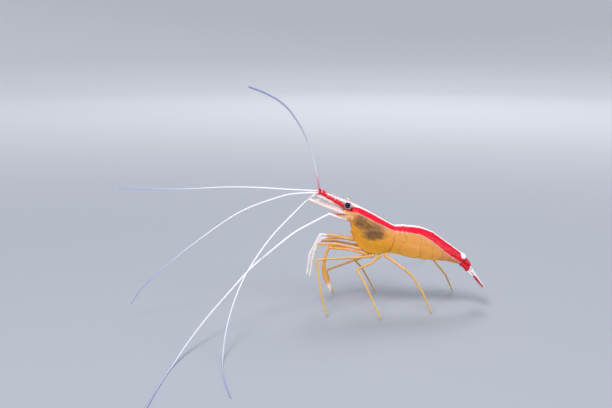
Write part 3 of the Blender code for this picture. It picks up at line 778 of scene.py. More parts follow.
def feeler_finish(name, settings, blush=(0.014, 0.034), violet=0.75):
    """Red at the base, pink to the end of the blush, then white with faint bands to a bluish far end."""
    made = Finish(name, 1.45, (0.15, 0.25))
    along = made.attribute("along", "Fac")
    bands = calc("SINE", along * 420.0)
    white = layered(settings.white, (along.ramp(0.25, 0.8), (0.74, 0.76, 0.90)),
                    (along.ramp(violet - 0.25, 1.0, 0.0, 0.85), (0.22, 0.26, 0.62)),
                    (bands.ramp(0.4, 1.0, 0.0, 0.2), (0.78, 0.55, 0.50)))
    edge = along + made.mottle(0.8) * 0.012
    white = blend(edge.ramp(*blush), (0.86, 0.30, 0.36), white)
    return made.paint(blend(edge.ramp(0.5 * blush[0], blush[0]), settings.red, white), 0.1, 0.32, 0.01)


def tail_finish(name, settings):
    """Red blades with white patches. The pattern's first value is positive inside a patch."""
    made = Finish(name, 1.40, (0.15, 0.15), (0.15, 0.3 * MM))
    patch, along, _ = made.pattern
    red = layered(settings.red, (made.mottle(0.4, 0.4, 0.65), (0.44, 0.0, 0.012)),
                  (along.ramp(0.78, 1.0) * patch.ramp(-0.55, -0.65), (0.28, 0.09, 0.03)),
                  (made.specks(0.35, 0.3) * 0.5, (0.80, 0.02, 0.08)))
    inside = patch + (made.mottle(0.5, 0.2, 0.8) - 0.5) * 0.16
    return made.paint(blend(inside.ramp(-0.05, 0.05), red, settings.white), 0.12)


def eye_ball_finish(name, settings):
    """The ball of an eye: a lilac ring with fine rays, darker towards the stalk."""
    made = Finish(name, 1.5, (0.6, 0.08), Metallic=0.25)
    back, across, up = made.pattern
    rays = calc("SINE", calc("ARCTAN2", up, across) * 36.0)
    body = layered(settings.ring, (rays.ramp(-1.0, 1.0, 0.0, 0.45), (0.78, 0.76, 0.88)),
                   (back.ramp(0.42, 0.62), (0.62, 0.30, 0.24)), (back.ramp(0.30, 0.26), settings.black))
    return made.paint(body, 0.08, 0.22, 0.01)


def cornea_finish(name, settings):
    """Near-black facets with a blue sheen where they turn away."""
    made = Finish(name, 1.38, (0.25, 0.05), Roughness=0.2, Specular_IOR_Level=0.35)
    facing = add_node(made.tree, "ShaderNodeLayerWeight", {"Blend": 0.35}, "Facing")
    # Painted sheen: a blue tint in the base colour, driven by the Layer Weight facing value.
    return made.paint(blend(facing.ramp(0.45, 1.0, 0.0, 0.4), settings.black, (0.03, 0.06, 0.30)))


def antenna_base_finish(name):
    """Orange with a white lower edge and a red end."""
    made = Finish(name, 1.45, (0.2, 0.2))
    middle = made.x * -0.322 + 30.42
    lower = middle - made.z + made.x.ramp(9.6, 6.9, 0.0, 0.30)
    base = layered(
        (0.84, 0.38, 0.09),
        (made.mottle(0.8), (0.86, 0.44, 0.22)),
        (made.specks(0.4, 0.32) * 0.45, (0.60, 0.03, 0.02)),
        (lower.ramp(-0.16, -0.30) * made.x.ramp(10.4, 8.8), (0.78, 0.02, 0.02)),
        (lower.ramp(-0.10, 0.10) * made.x.ramp(12.2, 10.8), (0.94, 0.93, 0.96)))
    return made.paint(base, 0.12)


def scale_finish(name):
    """Pale pink with faint lengthwise stripes."""
    made = Finish(name, 1.45, (0.25, 0.2), (0.2, 0.3 * MM))
    _, along, across = made.pattern
    wave = calc("SINE", across * 13.0)
    base = layered(
        (0.84, 0.74, 0.74),
        (wave.ramp(0.2, 0.95, 0.0, 0.55), (0.62, 0.34, 0.30)),
        (made.mottle(0.7) * 0.3, (0.88, 0.66, 0.52)),
        (along.ramp(0.90, 1.0, 0.0, 0.6), (0.80, 0.40, 0.30)),
        (made.specks(0.45, 0.25) * 0.35, (0.62, 0.08, 0.10)))
    return made.paint(base, 0.12)


def shared_finish(name, build, *values):
    """A material that is built once and found again after that."""
    return bpy.data.materials.get(name) or build(name, *values)


def flesh(context):
    """Speckled orange-pink skin of the head front and the belly."""
    return shared_finish("flesh", plain_finish, context.scene.shrimp_limbs.flesh, (0.84, 0.52, 0.30),
                         0.9, 0.36, 0.03, 0.4, (0.2, 0.4 * MM))


def shell_and_flesh(context):
    """A body plate's two finishes: outside, and at its ends."""
    return [shared_finish("banded shell", banded_shell, context.scene.shrimp_shell), flesh(context)]


def elbow_white(context):
    """A maxilliped's finish: amber flesh up to the elbow, white beyond it."""
    return shared_finish("maxilliped", limb_finish, (0.80, 0.40, 0.12), context.scene.shrimp_limbs.white,
                         (0.32, 0.39), 0.08)


# ---- geometry node trees

def run_tree(name, tree, points, edges, values, inputs):
    """The plain mesh that a tree makes from loose points or a line. values are per point."""
    seed = bpy.data.meshes.new(name + "_seed")
    seed.from_pydata([point(p) for p in points], edges, [])
    for title, numbers in values.items():
        triple = len(numbers) == 3 * len(points)
        row = seed.attributes.new(title, "FLOAT_VECTOR" if triple else "FLOAT", "POINT")
        row.data.foreach_set("vector" if triple else "value", numbers)
    holder = placed(name + "_seed", seed)
    modifier = holder.modifiers.new("grow", "NODES")
    modifier.node_group = tree
    for item in tree.interface.items_tree:
        if item.in_out == "INPUT" and item.name in inputs:
            modifier[item.identifier] = inputs[item.name]
    graph = bpy.context.evaluated_depsgraph_get()
    mesh = bpy.data.meshes.new_from_object(holder.evaluated_get(graph), preserve_all_data_layers=True,
                                           depsgraph=graph)
    mesh.name = name
    bpy.data.objects.remove(holder)
    return mesh


def growing_group(name, inputs):
    """An empty group that makes a mesh in the finish that it is given."""
    return new_group(name, "GeometryNodeTree", {**inputs, "Finish": "Material"}, {"Mesh": "Geometry"})


def finish_group(given, out, geometry):
    """Make a group's instances real, set their material and give back the group."""
    solid = add_node(given.tree, "GeometryNodeRealizeInstances", {"Geometry": geometry})
    done = add_node(given.tree, "GeometryNodeSetMaterial", {
        "Geometry": solid, "Material": given["Finish"]})
    done.link(out.inputs[0])
    return given.tree


def build_feeler_tree(name):
    """A ringed, tapering tube along a line."""
    given, out = growing_group(name, {
        "Line": "Geometry", "Ring Length": 0.0004, "Root Radius": 0.0003, "Tip Radius": 0.0001,
        "Relief": 0.1, "Sides": 8, "Start": 0.0})
    tree, root = given.tree, given["Root Radius"]
    line = add_node(tree, "GeometryNodeMeshToCurve", {"Mesh": given["Line"]})
    line = add_node(tree, "GeometryNodeResampleCurve", {
        "Curve": line, "Length": given["Ring Length"] / 3.0}, mode="LENGTH")
    factor = add_node(tree, "GeometryNodeSplineParameter", key="Factor")
    line = add_node(tree, "GeometryNodeStoreNamedAttribute", {
        "Geometry": line, "Name": "along", "Value": calc("MAXIMUM", factor, given["Start"])})
    phase = calc("MODULO", add_node(tree, "GeometryNodeInputIndex"), 3.0) / 2.0
    flare = phase * given["Relief"] + 1.0
    radius = root - factor * (root - given["Tip Radius"])
    circle = add_node(tree, "GeometryNodeCurvePrimitiveCircle", {
        "Resolution": given["Sides"], "Radius": 1.0})
    tube = add_node(tree, "GeometryNodeCurveToMesh", {
        "Curve": line, "Profile Curve": circle, "Scale": radius * flare, "Fill Caps": True})
    return finish_group(given, out, add_node(tree, "GeometryNodeSetShadeSmooth", {"Geometry": tube}))


def build_bristle_tree(name):
    """A slender bent bristle on each point, turned along its aim and as long as its reach."""
    given, out = growing_group(name, {"Roots": "Geometry", "Radius": 0.00003, "Bend": 4.0, "Seed": 1})
    tree, radius = given.tree, given["Radius"]
    cone = add_node(tree, "GeometryNodeMeshCone", {
        "Vertices": 4, "Side Segments": 3, "Radius Top": 0.15, "Radius Bottom": 1.0, "Depth": 1.0})
    height = split(add_node(tree, "GeometryNodeInputPosition"))[2]
    bent = add_node(tree, "GeometryNodeSetPosition", {
        "Geometry": cone, "Offset": join(height * height * given["Bend"])})
    aim, reach = (add_node(tree, "GeometryNodeInputNamedAttribute", {"Name": title}, data_type=kind)
                  for title, kind in (("aim", "FLOAT_VECTOR"), ("reach", "FLOAT")))
    dice = add_node(tree, "FunctionNodeRandomValue", {"Min": 0.82, "Max": 1.12, "Seed": given["Seed"]},
                    "Value", data_type="FLOAT")
    turn = add_node(tree, "FunctionNodeAlignRotationToVector", {"Vector": aim}, axis="Z")
    roots = add_node(tree, "GeometryNodeMeshToPoints", {"Mesh": given["Roots"]})
    return finish_group(given, out, add_node(tree, "GeometryNodeInstanceOnPoints", {
        "Points": roots, "Instance": bent, "Rotation": turn, "Scale": join(radius, radius, reach * dice)}))


def build_facet_tree(name):
    """Facets of an eye on a cap of a ball: a fine grid of cells, each raised a little."""
    given, out = growing_group(name, {
        "Centre": "Geometry", "Radius": 0.001, "Depth": 0.00001, "Fineness": 5,
        "Axis": (0.0, 0.0, 1.0), "Cap": 0.6})
    tree, radius = given.tree, given["Radius"]
    grid = add_node(tree, "GeometryNodeMeshIcoSphere", {
        "Radius": 1.0, "Subdivisions": given["Fineness"]})
    cells = add_node(tree, "GeometryNodeDualMesh", {0: grid})
    facing = vector_calc("DOT_PRODUCT", add_node(tree, "GeometryNodeInputPosition"), given["Axis"])
    cap = add_node(tree, "GeometryNodeDeleteGeometry", {
        "Geometry": cells, "Selection": calc("LESS_THAN", facing, given["Cap"])}, domain="FACE")
    inner = add_node(tree, "GeometryNodeTransform", {"Geometry": cap, "Scale": (0.97, 0.97, 0.97)})
    raised = add_node(tree, "GeometryNodeExtrudeMesh", {
        "Mesh": cap, "Offset Scale": given["Depth"] / radius}, mode="FACES")
    domed = add_node(tree, "GeometryNodeScaleElements", {
        "Geometry": raised["Mesh"], "Selection": raised["Top"], "Scale": 0.62}, domain="FACE")
    both = add_node(tree, "GeometryNodeJoinGeometry", {0: domed})
    add_node(tree, "GeometryNodeFlipFaces", {"Mesh": inner}).link(both.node.inputs[0])
    spots = add_node(tree, "GeometryNodeMeshToPoints", {"Mesh": given["Centre"]})
    return finish_group(given, out, add_node(tree, "GeometryNodeInstanceOnPoints", {
        "Points": spots, "Instance": both, "Scale": join(radius, radius, radius)}))


class Bristles:
    """Roots of many bristles, with each one's direction and length in millimetres."""

    def __init__(self, context, own_seed):
        self.settings = context.scene.shrimp_bristles
        self.roots, self.aims, self.reaches = [], [], []
        self.dice = random.Random(self.settings.seed + own_seed)

    def add(self, root, aim, reach, scatter):
        """One bristle, its direction scattered a little."""
        jitter = Vector([self.dice.uniform(-scatter, scatter) for _ in range(3)])
        self.roots.append(Vector(root))
        self.aims.extend((Vector(aim).normalized() + jitter).normalized())
        self.reaches.append(reach * MM)

    def grow(self, name, slot):
        """Make the bristles one piece, each with a small patch of its own on the bake map."""
        settings = self.settings
        finish = shared_finish("bristle", plain_finish, settings.pale, (0.86, 0.80, 0.74))
        mesh = run_tree(name, shared("bristles", build_bristle_tree), self.roots, [],
                        {"aim": self.aims, "reach": self.reaches},
                        {"Radius": settings.radius, "Bend": settings.bend, "Seed": settings.seed,
                         "Finish": finish})
        closed(mesh)
        self.lay_map(mesh)
        return finished_piece(name, mesh, ())

    def lay_map(self, mesh):
        """Lay each bristle's faces on one small patch, in rows across the map."""
        each = len(mesh.polygons) // len(self.roots)
        across = ceil(sqrt(len(self.roots)))
        size = min(BRISTLE_PATCH, 0.8 / across)
        layer = mesh.uv_layers.new(name="OFBake")
        for face in mesh.polygons:
            k, own = divmod(face.index, each)
            for corner, loop in enumerate(face.loop_indices):
                u = (k % across + 0.1) / across + size * (own / each if corner % 3 else (own + 1) / each)
                v = (k // across + 0.1) / across + size * (corner > 1)
                layer.data[loop].uv = (u, v)


# ---- body plates

Spot = namedtuple("Spot", "y h out_y out_h g girth")
Section = namedtuple("Section", "row bottom up rear height")


def section(rows, s):
    """The body section at row number s: its lowest point, its directions and its height."""
    row = Row(*spline(rows, s))
    bottom = Vector((row.bottom_x, 0, row.bottom_z))
    up = (Vector((row.top_x, 0, row.top_z)) - bottom).normalized()
    height = hypot(row.top_x - row.bottom_x, row.top_z - row.bottom_z)
    return Section(row, bottom, up, Vector((up.z, 0, -up.x)), height)


def side_point(half_width, height, g):
    """(sideways, up) at g on one flank, from 0 at the lower edge to 1 in the middle of the back."""
    widest, split_at = WIDEST * height, 0.36
    if g < split_at:
        s = 1 - g / split_at
        return half_width * (1 - (1 - EDGE) * s ** 1.6), widest * (1 - s)
    a = pi / 2 * (1 - g) / (1 - split_at)
    return (half_width * sin(a) ** (2 / ARCH_POWER),
            widest + (height - widest) * max(0.0, cos(a)) ** (2 / ARCH_POWER))


def outline(half_width, height):
    """Spots round a body section: up the left flank, down the right and back under the belly.

    g is a spot's share of the flank's girth, and falls from 0 to -1 in the middle of the belly.
    """
    shares = [k / FLANK_STEPS for k in range(FLANK_STEPS + 1)]
    flank = [side_point(half_width, height, g) for g in shares]
    girth = [0.0] * len(flank)
    for k in range(FLANK_STEPS - 1, -1, -1):
        girth[k] = girth[k + 1] + dist(flank[k], flank[k + 1])
    edge, inner = EDGE * half_width, EDGE * half_width - WALL
    around = [(-y, h, g, d) for (y, h), g, d in zip(flank, shares, girth)]
    around += [(-y, h, g, d) for y, h, g, d in reversed(around[:-1])]
    around += [(edge - 0.10, -0.07, 0.0, girth[0]), (inner + 0.09, -0.05, 0.0, girth[0])]
    for k in range(BELLY_STEPS + 1):
        b = pi * k / BELLY_STEPS
        around.append((inner * cos(b), 0.05 + RECESS * sin(b), -sin(b), girth[0] + 1.0))
    around += [(-inner - 0.09, -0.05, 0.0, girth[0]), (0.10 - edge, -0.07, 0.0, girth[0])]
    spots = []
    for i, (y, h, g, d) in enumerate(around):
        before, after = around[i - 1], around[(i + 1) % len(around)]
        dy, dh = after[0] - before[0], after[1] - before[1]
        size = hypot(dy, dh)
        spots.append(Spot(y, h, -dh / size, dy / size, g, d))
    return spots


def along_rows(rows):
    """Pairs of (distance along the body, row number), carried on a little past both ends."""
    middles = [Vector((r.top_x + r.bottom_x, 0, r.top_z + r.bottom_z)) / 2 for r in rows]
    pairs = [(0.0, 0.0)]
    for here, there in zip(middles, middles[1:]):
        pairs.append((pairs[-1][0] + (there - here).length, len(pairs)))
    first, last = pairs[1][0], pairs[-1][0] - pairs[-2][0]
    return [(-2.0, -2.0 / first)] + pairs + [(pairs[-1][0] + 2.0, len(rows) - 1 + 2.0 / last)]


def body_place(rows, s, spot, out, back=0.0, lift=0.0):
    """A spot of the body at row number s, moved outwards, towards the tail and upwards."""
    here = section(rows, s)
    level = min(1.0, max(0.0, spot.h / here.height))
    bow = SEAM_BULGE * sin(pi * level) * (ease(0, 4, s) if rows is CARAPACE_ROWS else 1.0)
    h = spot.h + spot.out_h * out + lift
    return here.bottom + here.up * h + here.rear * (back + bow) + Y_AXIS * (spot.y + spot.out_y * out)


def body_plate(rows, stations, shape):
    """A closed plate through stations of (distance along the body, inset), shaped spot by spot."""
    run = along_rows(rows)
    rings, patterns = [], []
    for t, inset in stations:
        s = table_value(run, t)
        here = section(rows, s)
        white, red = (table_value(table, here.row.top_x) for table in (WHITE_EDGE, RED_EDGE))
        ring, pattern = [], []
        for spot in outline(here.row.half_width, here.height):
            out, back, lift = shape(spot, t)
            ring.append(body_place(rows, s, spot, out - inset, back, lift))
            pattern.append((spot.girth - white, spot.girth - red, max(0.0, spot.g)))
        rings.append(ring)
        patterns.append(pattern)
    skin = Skin()
    skin.loft(rings, patterns, end_finish=1)
    return skin


def flank_point(rows, t, g, sign, out):
    """A point at share g of the flank's girth, out above its surface."""
    s = table_value(along_rows(rows), t)
    here = section(rows, s)
    (y, h), (y2, h2) = (side_point(here.row.half_width, here.height, share) for share in (g, g + 0.01))
    size = hypot(y2 - y, h2 - h)
    return body_place(rows, s, Spot(sign * y, h, sign * (h2 - h) / size, (y - y2) / size, g, 0.0), out)


def edge_share(spot, reach):
    """1 along the lower edge, falling to 0 at share reach of the flank and in mid belly."""
    return max(0.0, 1 - spot.g / reach) ** 2 if spot.g >= 0 else 1 + spot.g


def evenly(start, end, step):
    """Stations from start to end, about step apart, without an inset."""
    count = max(1, round((end - start) / step))
    return [(start + (end - start) * k / count, 0.0) for k in range(count + 1)]


def free_edge(t, rim, way):
    """Stations of a free edge at t that turns in by the rim's thickness. way is 1 at the rear."""
    return [(t, 0.0), (t + way * 0.05, rim * 0.3), (t + way * 0.05, rim * 0.7), (t, rim),
            (t - way * 0.3, rim * 1.4), (t - way * 0.5, rim * 3)]


def carapace_shape(reach, keel):
    """Relief of the carapace: keel, grooves, the swollen gill chamber and the shaped margins.

    reach is the distance from its front to its rear margin.
    """
    def shape(spot, t):
        g, low = max(0.0, spot.g), edge_share(spot, 0.2)
        out = 0.0
        if spot.g >= 0:
            out = keel * hump(spot.girth, 0, 0.4) * ease(8.0, 0.5, t)
            out -= 0.10 * hump(t, 2.7 + 5.0 * (g - 0.5), 0.24) * ease(0.42, 0.52, g) * ease(0.95, 0.84, g)
            out -= 0.07 * hump(g, 0.50 - 0.010 * t, 0.022) * ease(1.4, 2.4, t) * ease(9.5, 7.5, t)
            out += 0.16 * hump(t, 7.6, 3.2) * hump(g, 0.28, 0.17)
            out += 0.06 * hump(g, 0.0, 0.035) + 0.05 * hump(g, 0.75, 0.05) * ease(3.5, 0.0, t)
            out += 0.07 * ease(reach - 0.9, reach, t)
            out -= 0.06 * hump(t, reach - 1.0, 0.16) * ease(0.2, 0.35, g)
            out += 0.035 * noise.noise(Vector((t * 1.4, g * 8.0, spot.y)))
        front, rear = ease(1.7, 0.0, t), ease(reach - 2.2, reach, t)
        back = front * (0.30 * hump(g, 0.90, 0.05) + 0.30 * low - 0.30 - 0.45 * hump(g, 0.38, 0.30))
        back += 1.5 * front * min(1.0, -2.5 * min(0.0, spot.g))
        return out, back - 0.4 * rear * low, 0.2 * low * (front + rear)
    return shape


# Each abdominal plate: how far its lower lobe reaches back and forward, how far it stands out, and
# how far its corners curve up.
Lobe = namedtuple("Lobe", "rear front stand corner")
LOBES = (Lobe(-0.2, 0.0, -0.08, 0.30), Lobe(0.50, 0.80, 0.13, 0.36), Lobe(0.45, 0.0, 0.0, 0.36),
         Lobe(0.40, 0.0, 0.0, 0.34), Lobe(0.40, 0.0, 0.0, 0.30), Lobe(0.25, 0.0, 0.0, 0.20))


def tergite_shape(k, start, end):
    """Relief of abdominal plate k, whose seams are at start and end."""
    lobe = LOBES[k]

    def shape(spot, t):
        g, low = max(0.0, spot.g), edge_share(spot, 0.24)
        front, rear = ease(start + 1.5, start, t), ease(end - 1.6, end, t)
        lower = ease(0.46, 0.30, g)
        if spot.g < 0:
            out = -0.12 * cos((t - start) / (end - start) * 2 * pi) * min(1.0, -2 * spot.g)
        else:
            tucked = 1 - (lower if lobe.front else 0.0)
            out = -0.17 * ease(start + 0.75, start, t) * tucked
            out += 0.08 * ease(end - 0.9, end, t) * (1 - (lower if k == 0 else 0.0))
            out += lobe.stand * lower
            out -= 0.05 * hump(t, start + 1.0, 0.13) * ease(0.38, 0.5, g)
            out -= 0.05 * hump(g, 0.40, 0.018) * ease(start + 0.4, start + 0.9, t)
            out += 0.12 * hump(g, 0.43, 0.022) * hump(t, end - 0.02, 0.26)
            out += 0.05 * hump(g, 0.0, 0.03)
            out += 0.025 * noise.noise(Vector((t * 1.8, g * 9.0, spot.y)))
        back = (rear * lobe.rear - front * lobe.front) * hump(g, 0.15, 0.13)
        rise = ease(end - 1.4, end + 0.3, t) ** 2 + 0.7 * ease(start + 1.1, start - 0.3, t)
        return out, back, low * lobe.corner * rise
    return shape


def ball(skin, centre, radii, pattern, finish, lean):
    """A rounded lump with its own three radii, leaning about the crosswise axis."""
    rings = []
    for k in range(1, BALL_RINGS):
        a = pi * k / BALL_RINGS
        ring = []
        for b in turns(BALL_SIDES):
            x, z = radii[0] * sin(a) * cos(b), radii[2] * cos(a)
            ring.append(Vector(centre) + Vector((
                x * cos(lean) + z * sin(lean), radii[1] * sin(a) * sin(b),
                z * cos(lean) - x * sin(lean))))
        rings.append(ring)
    skin.loft(rings, [pattern] * len(rings), finish)


def rostrum_tooth(skin, start, steps, radii, sides, flat, lower):
    """A hooked tooth whose points lie at steps of (x, z) from the blade's upper or lower edge."""
    path = []
    for x, z in steps:
        edge = table_value(ROSTRUM_LINE, start + x) - lower * table_value(ROSTRUM_DEPTH, start + x)
        path.append(Vector((start + x, 0, edge + z)))
    horn(skin, path, radii, (-1.0, 1.0, 0.3), sides, 0, flat, (0.9, 3.0, 0.1))


def build_rostrum(skin):
    """The saw-edged blade between the eyes: a lens-shaped bar with hooked teeth."""
    back, front = ROSTRUM_LINE[0][0], ROSTRUM_LINE[-1][0]
    rings, patterns = [], []
    for i in range(ROSTRUM_RINGS):
        u = i / (ROSTRUM_RINGS - 1)
        x = back + (front - back) * u
        top, deep = table_value(ROSTRUM_LINE, x), table_value(ROSTRUM_DEPTH, x)
        thick = 0.42 * (1 - 0.55 * ease(14.0, 6.0, x)) * (1 if u < 0.97 else 0.5)
        ring, values = [], []
        for a in turns(ROSTRUM_SIDES):
            down = (1 - cos(a)) / 2
            rib = 0.35 + 0.65 * hump(down, 0.52, 0.22)
            y = thick * copysign(abs(sin(a)) ** 0.8, sin(a)) * rib
            ring.append(Vector((x, y, top - deep * down)))
            values.append(((down - 0.86) * 0.9, -0.5, 0.9))
        rings.append(ring)
        patterns.append(values)
    skin.loft(rings, patterns)
    for i, start in enumerate(TOOTH_STARTS):
        size = 0.36 - 0.015 * i
        steps = ((0.45, -0.42), (-0.18, -0.06), (-0.48, size * 0.5), (-0.70, size * 0.9))
        rostrum_tooth(skin, start, steps, (0.24, 0.22, 0.11, 0.012), 10, 0.6, False)
    for start in LOWER_TOOTH_STARTS:
        steps = ((0.0, 0.12), (-0.4, -0.06), (-0.75, -0.2))
        rostrum_tooth(skin, start, steps, (0.16, 0.11, 0.012), 8, 0.55, True)


def build_carapace(context):
    """The carapace with its rostrum, spines and margins."""
    settings = context.scene.shrimp_shell
    reach, lip, rim = along_rows(CARAPACE_ROWS)[-2][0], settings.lip / MM, settings.rim / MM
    stations = free_edge(0.0, rim, -1)[::-1] + evenly(0.12, 2.0, 0.12)
    stations += evenly(2.2, reach + lip - 0.1, 0.2) + free_edge(reach + lip, rim, 1)
    skin = body_plate(CARAPACE_ROWS, stations, carapace_shape(reach, settings.keel / MM))
    build_rostrum(skin)
    for sign in SIDES.values():
        for g, length_out, radius, colours in ((0.755, 0.6, 0.11, (1.0, -1.0, 0.7)),
                                               (0.20, 0.35, 0.10, (2.0, 3.0, 0.1))):
            path = [flank_point(CARAPACE_ROWS, t, g, sign, out) for t, out in
                    ((0.9, -0.10), (0.2, 0.0), (-0.5 * length_out, 0.03), (-length_out, 0.02))]
            horn(skin, path, (radius, radius, radius * 0.6, 0.012), colours, 10, 0, 0.8)
    skin.piece("carapace_shell", shell_and_flesh(context), ["carapace"], "shell")


def build_abdomen(context):
    """The six overlapping plates of the abdomen, with a short fringe along their lower edges."""
    settings = context.scene.shrimp_shell
    lip, rim = settings.lip / MM, settings.rim / MM
    run = along_rows(ABDOMEN_ROWS)
    seams = [distance for distance, _ in run[1:-1]]
    fringe = Bristles(context, 0)
    for k, (start, end) in enumerate(zip(seams, seams[1:])):
        stations = [(start + 0.3, 0.5), (start, 0.25), (start - 0.22, 0.1), (start - 0.22, 0.0)]
        stations += evenly(start - 0.1, end + lip - 0.1, 0.16) + free_edge(end + lip, rim, 1)
        shape = tergite_shape(k, start, end)
        body_plate(ABDOMEN_ROWS, stations, shape).piece(
            f"abdomen_ring_{k + 1}", shell_and_flesh(context), [f"abdomen_{k + 1}"], "red")
        for t, _ in evenly(start + 0.5, end - 0.1, 0.10):
            s = table_value(run, t)
            half_width = section(ABDOMEN_ROWS, s).row.half_width
            for sign in SIDES.values():
                spot = Spot(sign * (EDGE * half_width - 0.08), 0.02, sign * 0.2, -1.0, 0.0, 0.0)
                _, back, lift = shape(spot, t)
                root = body_place(ABDOMEN_ROWS, s, spot, 0.0, back, lift)
                fringe.add(root, (0.35, sign * 0.25, -1.0), 0.28, 0.2)
    fringe.grow("abdomen_fringe", "limb")


def build_sternum(context):
    """The ribbed plate under the carapace, from which the legs grow."""
    rings, patterns = [], []
    for i in range(STERNUM_RINGS):
        s = 0.95 + 2.8 * i / (STERNUM_RINGS - 1)
        here = section(CARAPACE_ROWS, s)
        half = EDGE * here.row.half_width - WALL - 0.25
        half *= 0.55 + 0.45 * ease(0, 5, min(i, STERNUM_RINGS - 1 - i))
        ridge = sum(hump(s, middle, 0.13) for middle in LEG_ROWS)
        ring = []
        for a in turns(STERNUM_SIDES):
            y, h = half * cos(a), sin(a)
            if h > 0:
                h *= RECESS - 0.4
            else:
                h = h * 0.22 - 0.22 * ridge * ease(0.25, 0.6, abs(y) / half)
            if h < 0:
                h += 0.12 * hump(y, 0, 0.25)
            ring.append(here.bottom + here.up * h + Y_AXIS * y)
        rings.append(ring)
        patterns.append((s / 4, 0.5, ridge))
    skin = Skin()
    skin.loft(rings, patterns)
    skin.piece("sternum_plate", [flesh(context)], ["sternum"], "limb")


# ---- head

def build_mouthparts(context):
    """The front of the head: brow, epistome, labrum, mandibles and the small mouth limbs."""
    pale = shared_finish("pale flesh", plain_finish, (0.80, 0.55, 0.38), (0.86, 0.70, 0.56))
    skin, fringe = Skin(), Bristles(context, 1)
    line = [Vector((x, 0, z)) for x, z, _ in HEAD_FRONT]
    horn(skin, line, [half for _, _, half in HEAD_FRONT], MIDDLE, 32, 0, 1.0, None, 0.31)
    for x, z, *radii, lean in HEAD_LUMPS:
        ball(skin, (x, 0, z), radii, MIDDLE, 0, lean)
    for sign in SIDES.values():
        def side(x, y, z):
            return Vector((x + 0.5, sign * y, z))

        def limb(places, radii, sides, flat=1.0):
            path = [side(*place) for place in places]
            horn(skin, path, radii, (0.08, 0.5, 0.5), sides, 2, flat)
            return path

        ball(skin, side(12.95, 1.45, 25.75), (0.40, 0.40, 0.5), MIDDLE, 0, -0.2)
        ball(skin, side(12.95, 0.62, 23.45), (0.42, 0.46, 0.66), MIDDLE, 1, 0.15)
        for x, z, width, reach in MOUTH_LEAVES:
            path = [side(x + dx, y, z + dz) for dx, y, dz in
                    ((0.5, 1.65, 0.30), (-0.02, 1.0, 0.12), (-0.12, 0.16, -0.12))]
            leaf(skin, path, Vector((0.25, 0, 1)), width, 0.14, round_edges, plain_relief, 1, 14, 8)
            for k in range(12):
                root = side(x - 0.10, 0.20 + 0.03 * (k % 3), z - 0.12 + width * (k / 11 - 0.5) * 0.75)
                fringe.add(root, (-0.55, -sign * 0.25, -0.45), 0.24 * reach, 0.3)
        palp = limb(((13.55, 1.50, 20.55), (12.95, 1.66, 20.8), (12.68, 1.58, 21.4), (12.58, 1.20, 22.0),
                     (12.58, 0.62, 22.25)), (0.36, 0.36, 0.34, 0.30, 0.10), 14, 0.62)
        limb(((13.5, 1.15, 20.6), (12.9, 1.0, 20.75), (12.62, 0.62, 21.1), (12.6, 0.15, 21.15)),
             (0.36, 0.36, 0.30, 0.08), 14, 0.55)
        for k in range(26):
            spot = spline(palp, 1.6 + 2.3 * k / 25) + Vector((-0.05, 0, 0.18))
            fringe.add(spot, (-0.4, -sign * 0.4, 0.6 - 0.5 * (k % 2)), 0.26, 0.3)
        limb(((13.4, 1.75, 21.2), (13.0, 1.94, 22.1), (12.95, 1.84, 23.2), (13.0, 1.62, 24.2)),
             (0.10, 0.08, 0.05, 0.02), 8)
    skin.piece("mouth_bundle", [flesh(context), pale, elbow_white(context)], ["mouthparts"], "limb")
    fringe.grow("mouth_fringe", "limb")


def build_eyes(context):
    """Both eyes: a ball with a ringed rim, a cap of facets and a stalk that widens into a cup."""
    settings, limbs = context.scene.shrimp_eyes, context.scene.shrimp_limbs
    ring = shared_finish("eye ring", eye_ball_finish, settings)
    cornea = shared_finish("cornea", cornea_finish, settings)
    stalk = shared_finish("eye stalk", plain_finish, limbs.flesh, (0.86, 0.70, 0.66), 0.4, 0.3, 0.02, 0.5)
    radius = settings.radius / MM
    for side, sign in SIDES.items():
        centre = Vector((LEFT_EYE.x, sign * -LEFT_EYE.y, LEFT_EYE.z))
        axis = Vector((-0.20, sign * 0.95, 0.20)).normalized()
        across = axis.cross(Vector((0, 0, 1))).normalized()
        skin, rings, patterns = Skin(), [], []
        for k in range(1, EYE_RINGS):
            a = pi * k / EYE_RINGS
            size = 1 - 0.012 * hump(a, 0.93, 0.05) + 0.014 * hump(a, 0.80, 0.05)
            size = (size - 0.02 * hump(a, 1.75, 0.1)) * radius
            middle = centre + axis * cos(a) * size
            rings.append(ring_round(middle, axis, across, sin(a) * size, EYE_SIDES))
            patterns.append([(a / pi, cos(b), sin(b)) for b in turns(EYE_SIDES)])
        skin.loft(rings, patterns)
        skin.piece(f"eye_ball_{side}", [ring], [f"eye_{side}"], "eye")
        facets = shared("eye facets", build_facet_tree)
        mesh = run_tree(f"cornea_{side}", facets, [centre + axis * 0.2], [], {}, {
            "Radius": settings.radius * CORNEA_SIZE, "Depth": settings.facet_depth,
            "Fineness": settings.facets, "Axis": tuple(axis), "Cap": CORNEA_CAP, "Finish": cornea})
        finished_piece(f"cornea_{side}", closed(mesh), [])
        root = mirrored((13.25, 0.75, 29.75), sign)
        toward = (centre - root).normalized()
        middle = (root + centre) / 2 - Vector((0, 0, 0.05))
        cup = centre - toward * 0.5
        path = [root, (root + middle) / 2, middle, (middle + cup) / 2]
        path += [cup + toward * further for further in (-0.1, 0.0, 0.06, -0.05)]
        skin = Skin()
        radii = (0.46, 0.47, 0.50, 0.66, 0.90, 0.985, 0.97, 0.8)
        skin.loft(tube_rings(path, radii, 24), [MIDDLE] * len(path))
        skin.piece(f"stalk_{side}", [stalk], [f"eyestalk_{side}"], "limb")


def curve_point(path, s):
    """The point at share s of a smooth curve through path, or of a straight line."""
    return spline(path, (len(path) - 1) * s) if len(path) > 2 else path[0].lerp(path[-1], s)


